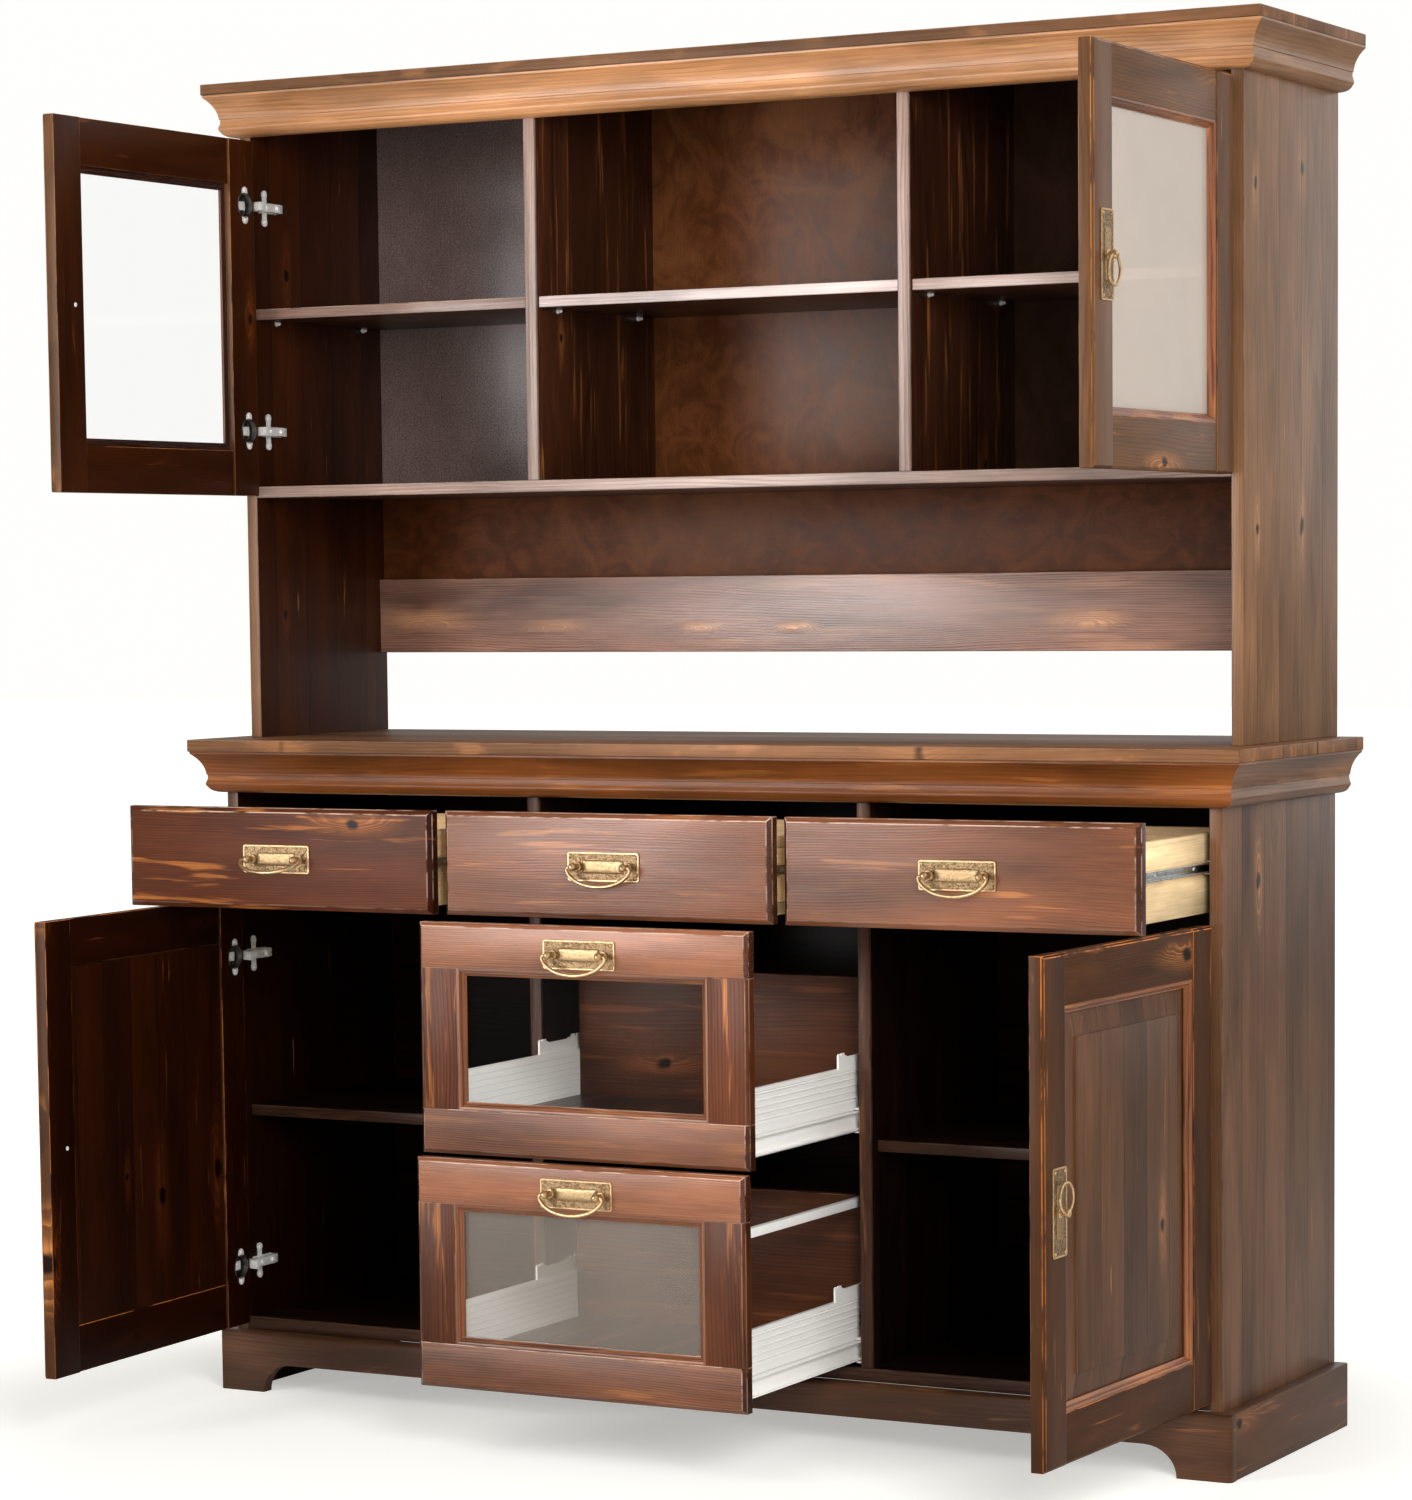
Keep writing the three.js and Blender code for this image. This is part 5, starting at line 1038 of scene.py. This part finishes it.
for name, gallery in (("glazed_drawer_upper", False), ("glazed_drawer_lower", True)):
    low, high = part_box(name + "_front")
    left, right, bottom, top = low.x, high.x, low.z, high.z
    face = joint_at[name + "_bail_swing"].y + post_reach
    near = face + front_board
    opening = ((left + stile, bottom + long_rail), (right - stile, top - long_rail))
    foot, cut = Stock(name + "_foot_rail"), (0.005, 0.005, 0.005, 0)
    slab(foot, (left, bottom), (right, opening[0][1]), face, near, cut, "x").piece(
        name, "front_pine", low_front_pine, name + "_front")
    head, cut = Stock(name + "_rails"), (0.005, 0.005, 0, 0.005)
    slab(head, (left, opening[1][1]), (right, top), face, near, cut, "x").piece(
        name, "front_pine", rail_front_pine, name + "_front")
    uprights = Stock(name + "_stiles")
    for x0, x1, cut in ((left, left + stile, (0.004, 0, 0, 0)), (right - stile, right, (0, 0.004, 0, 0))):
        slab(uprights, (x0, opening[0][1]), (x1, opening[1][1]), face + rail_set_back, near, cut, "z")
    uprights.piece(name, "front_pine", stile_pine)
    bead(Stock(name + "_bead"), *opening, face).piece(name, "front_pine", bead_pine)
    low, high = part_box(name + "_tray")
    far, floor_z, inner_half = near + tray_length, low.z, tray_half - side_thick
    sides, ribs = Stock(name + "_sides"), []
    for out in (-1, 1):
        sides.take(skin([[(out * (tray_half - deep), y, floor_z + up) for deep, up in rolled] for y in (near, far)]),
                   "y")
        toothed = [(far - back, floor_z + side_high + up) for back, up in bracket]
        sides.take(skin([[(out * (tray_half - deep), y, z) for y, z in toothed] for deep in (0.0005, 0.003)]), "y")
        channel(sides, out * tray_half, out, (near + 0.004, far), floor_z + tray_runner, 0.025,
                web=0.0016, flange=0.0101, inner=0.428)
        if gallery:
            outer = (out * (tray_half - 0.0005), near, floor_z + 0.205)
            sides.plank(outer, (out * inner_half, far, floor_z + 0.218), "y", 0.003)
        for i in range(9):
            for x in (inner_half + 0.0008, tray_half - 0.0009)[:2 if i > 3 else 1]:
                ribs.append(((out * x, (near + far) / 2, floor_z + first_rib + i * rib_pitch), (0, 1, 0)))
    sides.piece(name, "white_metal", powder_coat, name + "_tray")
    rib_tree.grow(name + "_ribs", ribs, name, "white_metal", powder_coat)
    back = far - back_thick
    tray_bottom, tray_back = Stock(name + "_bottom"), Stock(name + "_back_board")
    tray_bottom.plank((-inner_half, near, floor_z + 0.008), (inner_half, back, floor_z + 0.024), "y", 0.0006)
    tray_back.plank((-inner_half, back, floor_z + 0.001), (inner_half, far, high.z - 0.0005), "x", 0.001)
    tray_bottom.piece(name, "carcass_pine", inside_pine)
    tray_back.piece(name, "carcass_pine", rear_pine)

# Runner members on the cabinet: a zinc channel for each top drawer and a white one for each glazed
# drawer, screwed to sides and partitions, with a dark buffer in the mouth of each zinc channel.
front_y = back_plane - 0.399
channel_ends = (front_y, back_plane - 0.009)
zinc_channels, white_channels, buffers = Stock("zinc_channels"), Stock("white_channels"), Stock("runner_buffers")
for face, out in ((-base_inner, 1), (-base_partition[1], -1), (-base_partition[0], 1), (base_partition[0], -1),
                  (base_partition[1], 1), (base_inner, -1)):
    channel(zinc_channels, face, out, channel_ends, runner_z, 0.017, web=0.0015, flange=0.009, inner=0.412)
    outer = (face + out * 0.0016, front_y + 0.001, runner_z - 0.0062)
    buffers.plank(outer, (face + out * 0.0021, front_y + 0.012, runner_z + 0.0062), "y", 0.0002)
for face, out in ((-base_partition[0], 1), (base_partition[0], -1)):
    for tray in ("glazed_drawer_upper_tray", "glazed_drawer_lower_tray"):
        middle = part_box(tray)[0].z + tray_runner
        channel(white_channels, face, out, channel_ends, middle, 0.033, web=0.002, flange=0.009, inner=0.44,
                ease=0.0005)
zinc_channels.piece("carcass", "nickel_steel", zinc)
white_channels.piece("carcass", "white_metal", powder_coat)
buffers.piece("carcass", "nickel_steel", black_nylon)

# Floor and studio light: a pale floor that runs out to white, and a pale surround that glass and varnish
# mirror. The key lamp stands low on the left and is the only one mirrored; softer ones fill from above,
# from the right and from behind.
floor_finish = Finish("floor_finish")
seen = floor_finish.add("ShaderNodeLightPath", out="Is Camera Ray")
floor_mesh = bpy.data.meshes.new("floor")
floor_mesh.from_pydata([(-30, -30, 0), (30, -30, 0), (30, 30, 0), (-30, 30, 0)], [], [(0, 1, 2, 3)])
floor = bpy.data.objects.new("floor", floor_mesh)
bpy.context.scene.collection.objects.link(floor)
away = floor_finish.add("ShaderNodeVectorMath", {0: floor_finish.spot()}, 1, operation="LENGTH")
glow = seen * (0.42 + away.rise(0.8, 1.55) * 0.58)
cream = floor_finish.blend(away.rise(0.6, 1.6), (1.0, 0.985, 0.95), (1.0, 1.0, 0.94))
floor_finish.dress(Base_Color=(0.82, 0.82, 0.79), Roughness=0.9, Emission_Strength=1.0)
floor_finish.dress(Emission_Color=floor_finish.shade(cream, glow))
floor_mesh.materials.append(floor_finish.material)


def lamp(name, power, size, place, target, mirrored=False):
    light = bpy.data.lights.new(name, "AREA")
    light.energy, light.shape, light.size, light.size_y = power, "RECTANGLE", *size
    holder = bpy.data.objects.new(name, light)
    holder.location, holder.visible_glossy = place, mirrored
    holder.rotation_euler = (Vector(target) - Vector(place)).to_track_quat("-Z", "Y").to_euler()
    bpy.context.scene.collection.objects.link(holder)


lamp("key", 105, (1.3, 2.4), (-2.3, -4.2, 1.45), (0, -0.4, 1.0), mirrored=True)
lamp("high", 36, (2.4, 1.8), (-0.6, -3.0, 3.6), (0, 0, 0.8))
lamp("fill", 172, (1.6, 1.8), (2.9, -3.1, 2.0), (0.2, -0.3, 0.8))
lamp("side", 36, (2.0, 2.4), (3.4, 2.4, 1.8), (0.6, 0, 0.9))
world = bpy.data.worlds.new("surround")
bpy.context.scene.world = world
world.use_nodes = True
sky = Bench(world.node_tree)
paths = sky.add("ShaderNodeLightPath").socket.node.outputs
kinds = ("Is Camera Ray", "Is Transmission Ray", "Is Glossy Ray")
camera_ray, through_ray, mirror_ray = [Wire(sky, paths[kind]) for kind in kinds]
toward = sky.split(sky.add("ShaderNodeTexCoord", out="Generated"))
brighter = 0.3 + (toward[0] * 0.8 + toward[1] * 0.6).rise(-0.3, 0.5) * 0.7
strength = (camera_ray + through_ray + mirror_ray * brighter).turn("MINIMUM", 1.0).turn("MAXIMUM", 0.15)
background = world.node_tree.nodes["Background"]
sky.put(background.inputs["Color"], (1.0, 0.995, 0.975))
sky.put(background.inputs["Strength"], strength)
bpy.context.scene.view_settings.view_transform = "Standard"
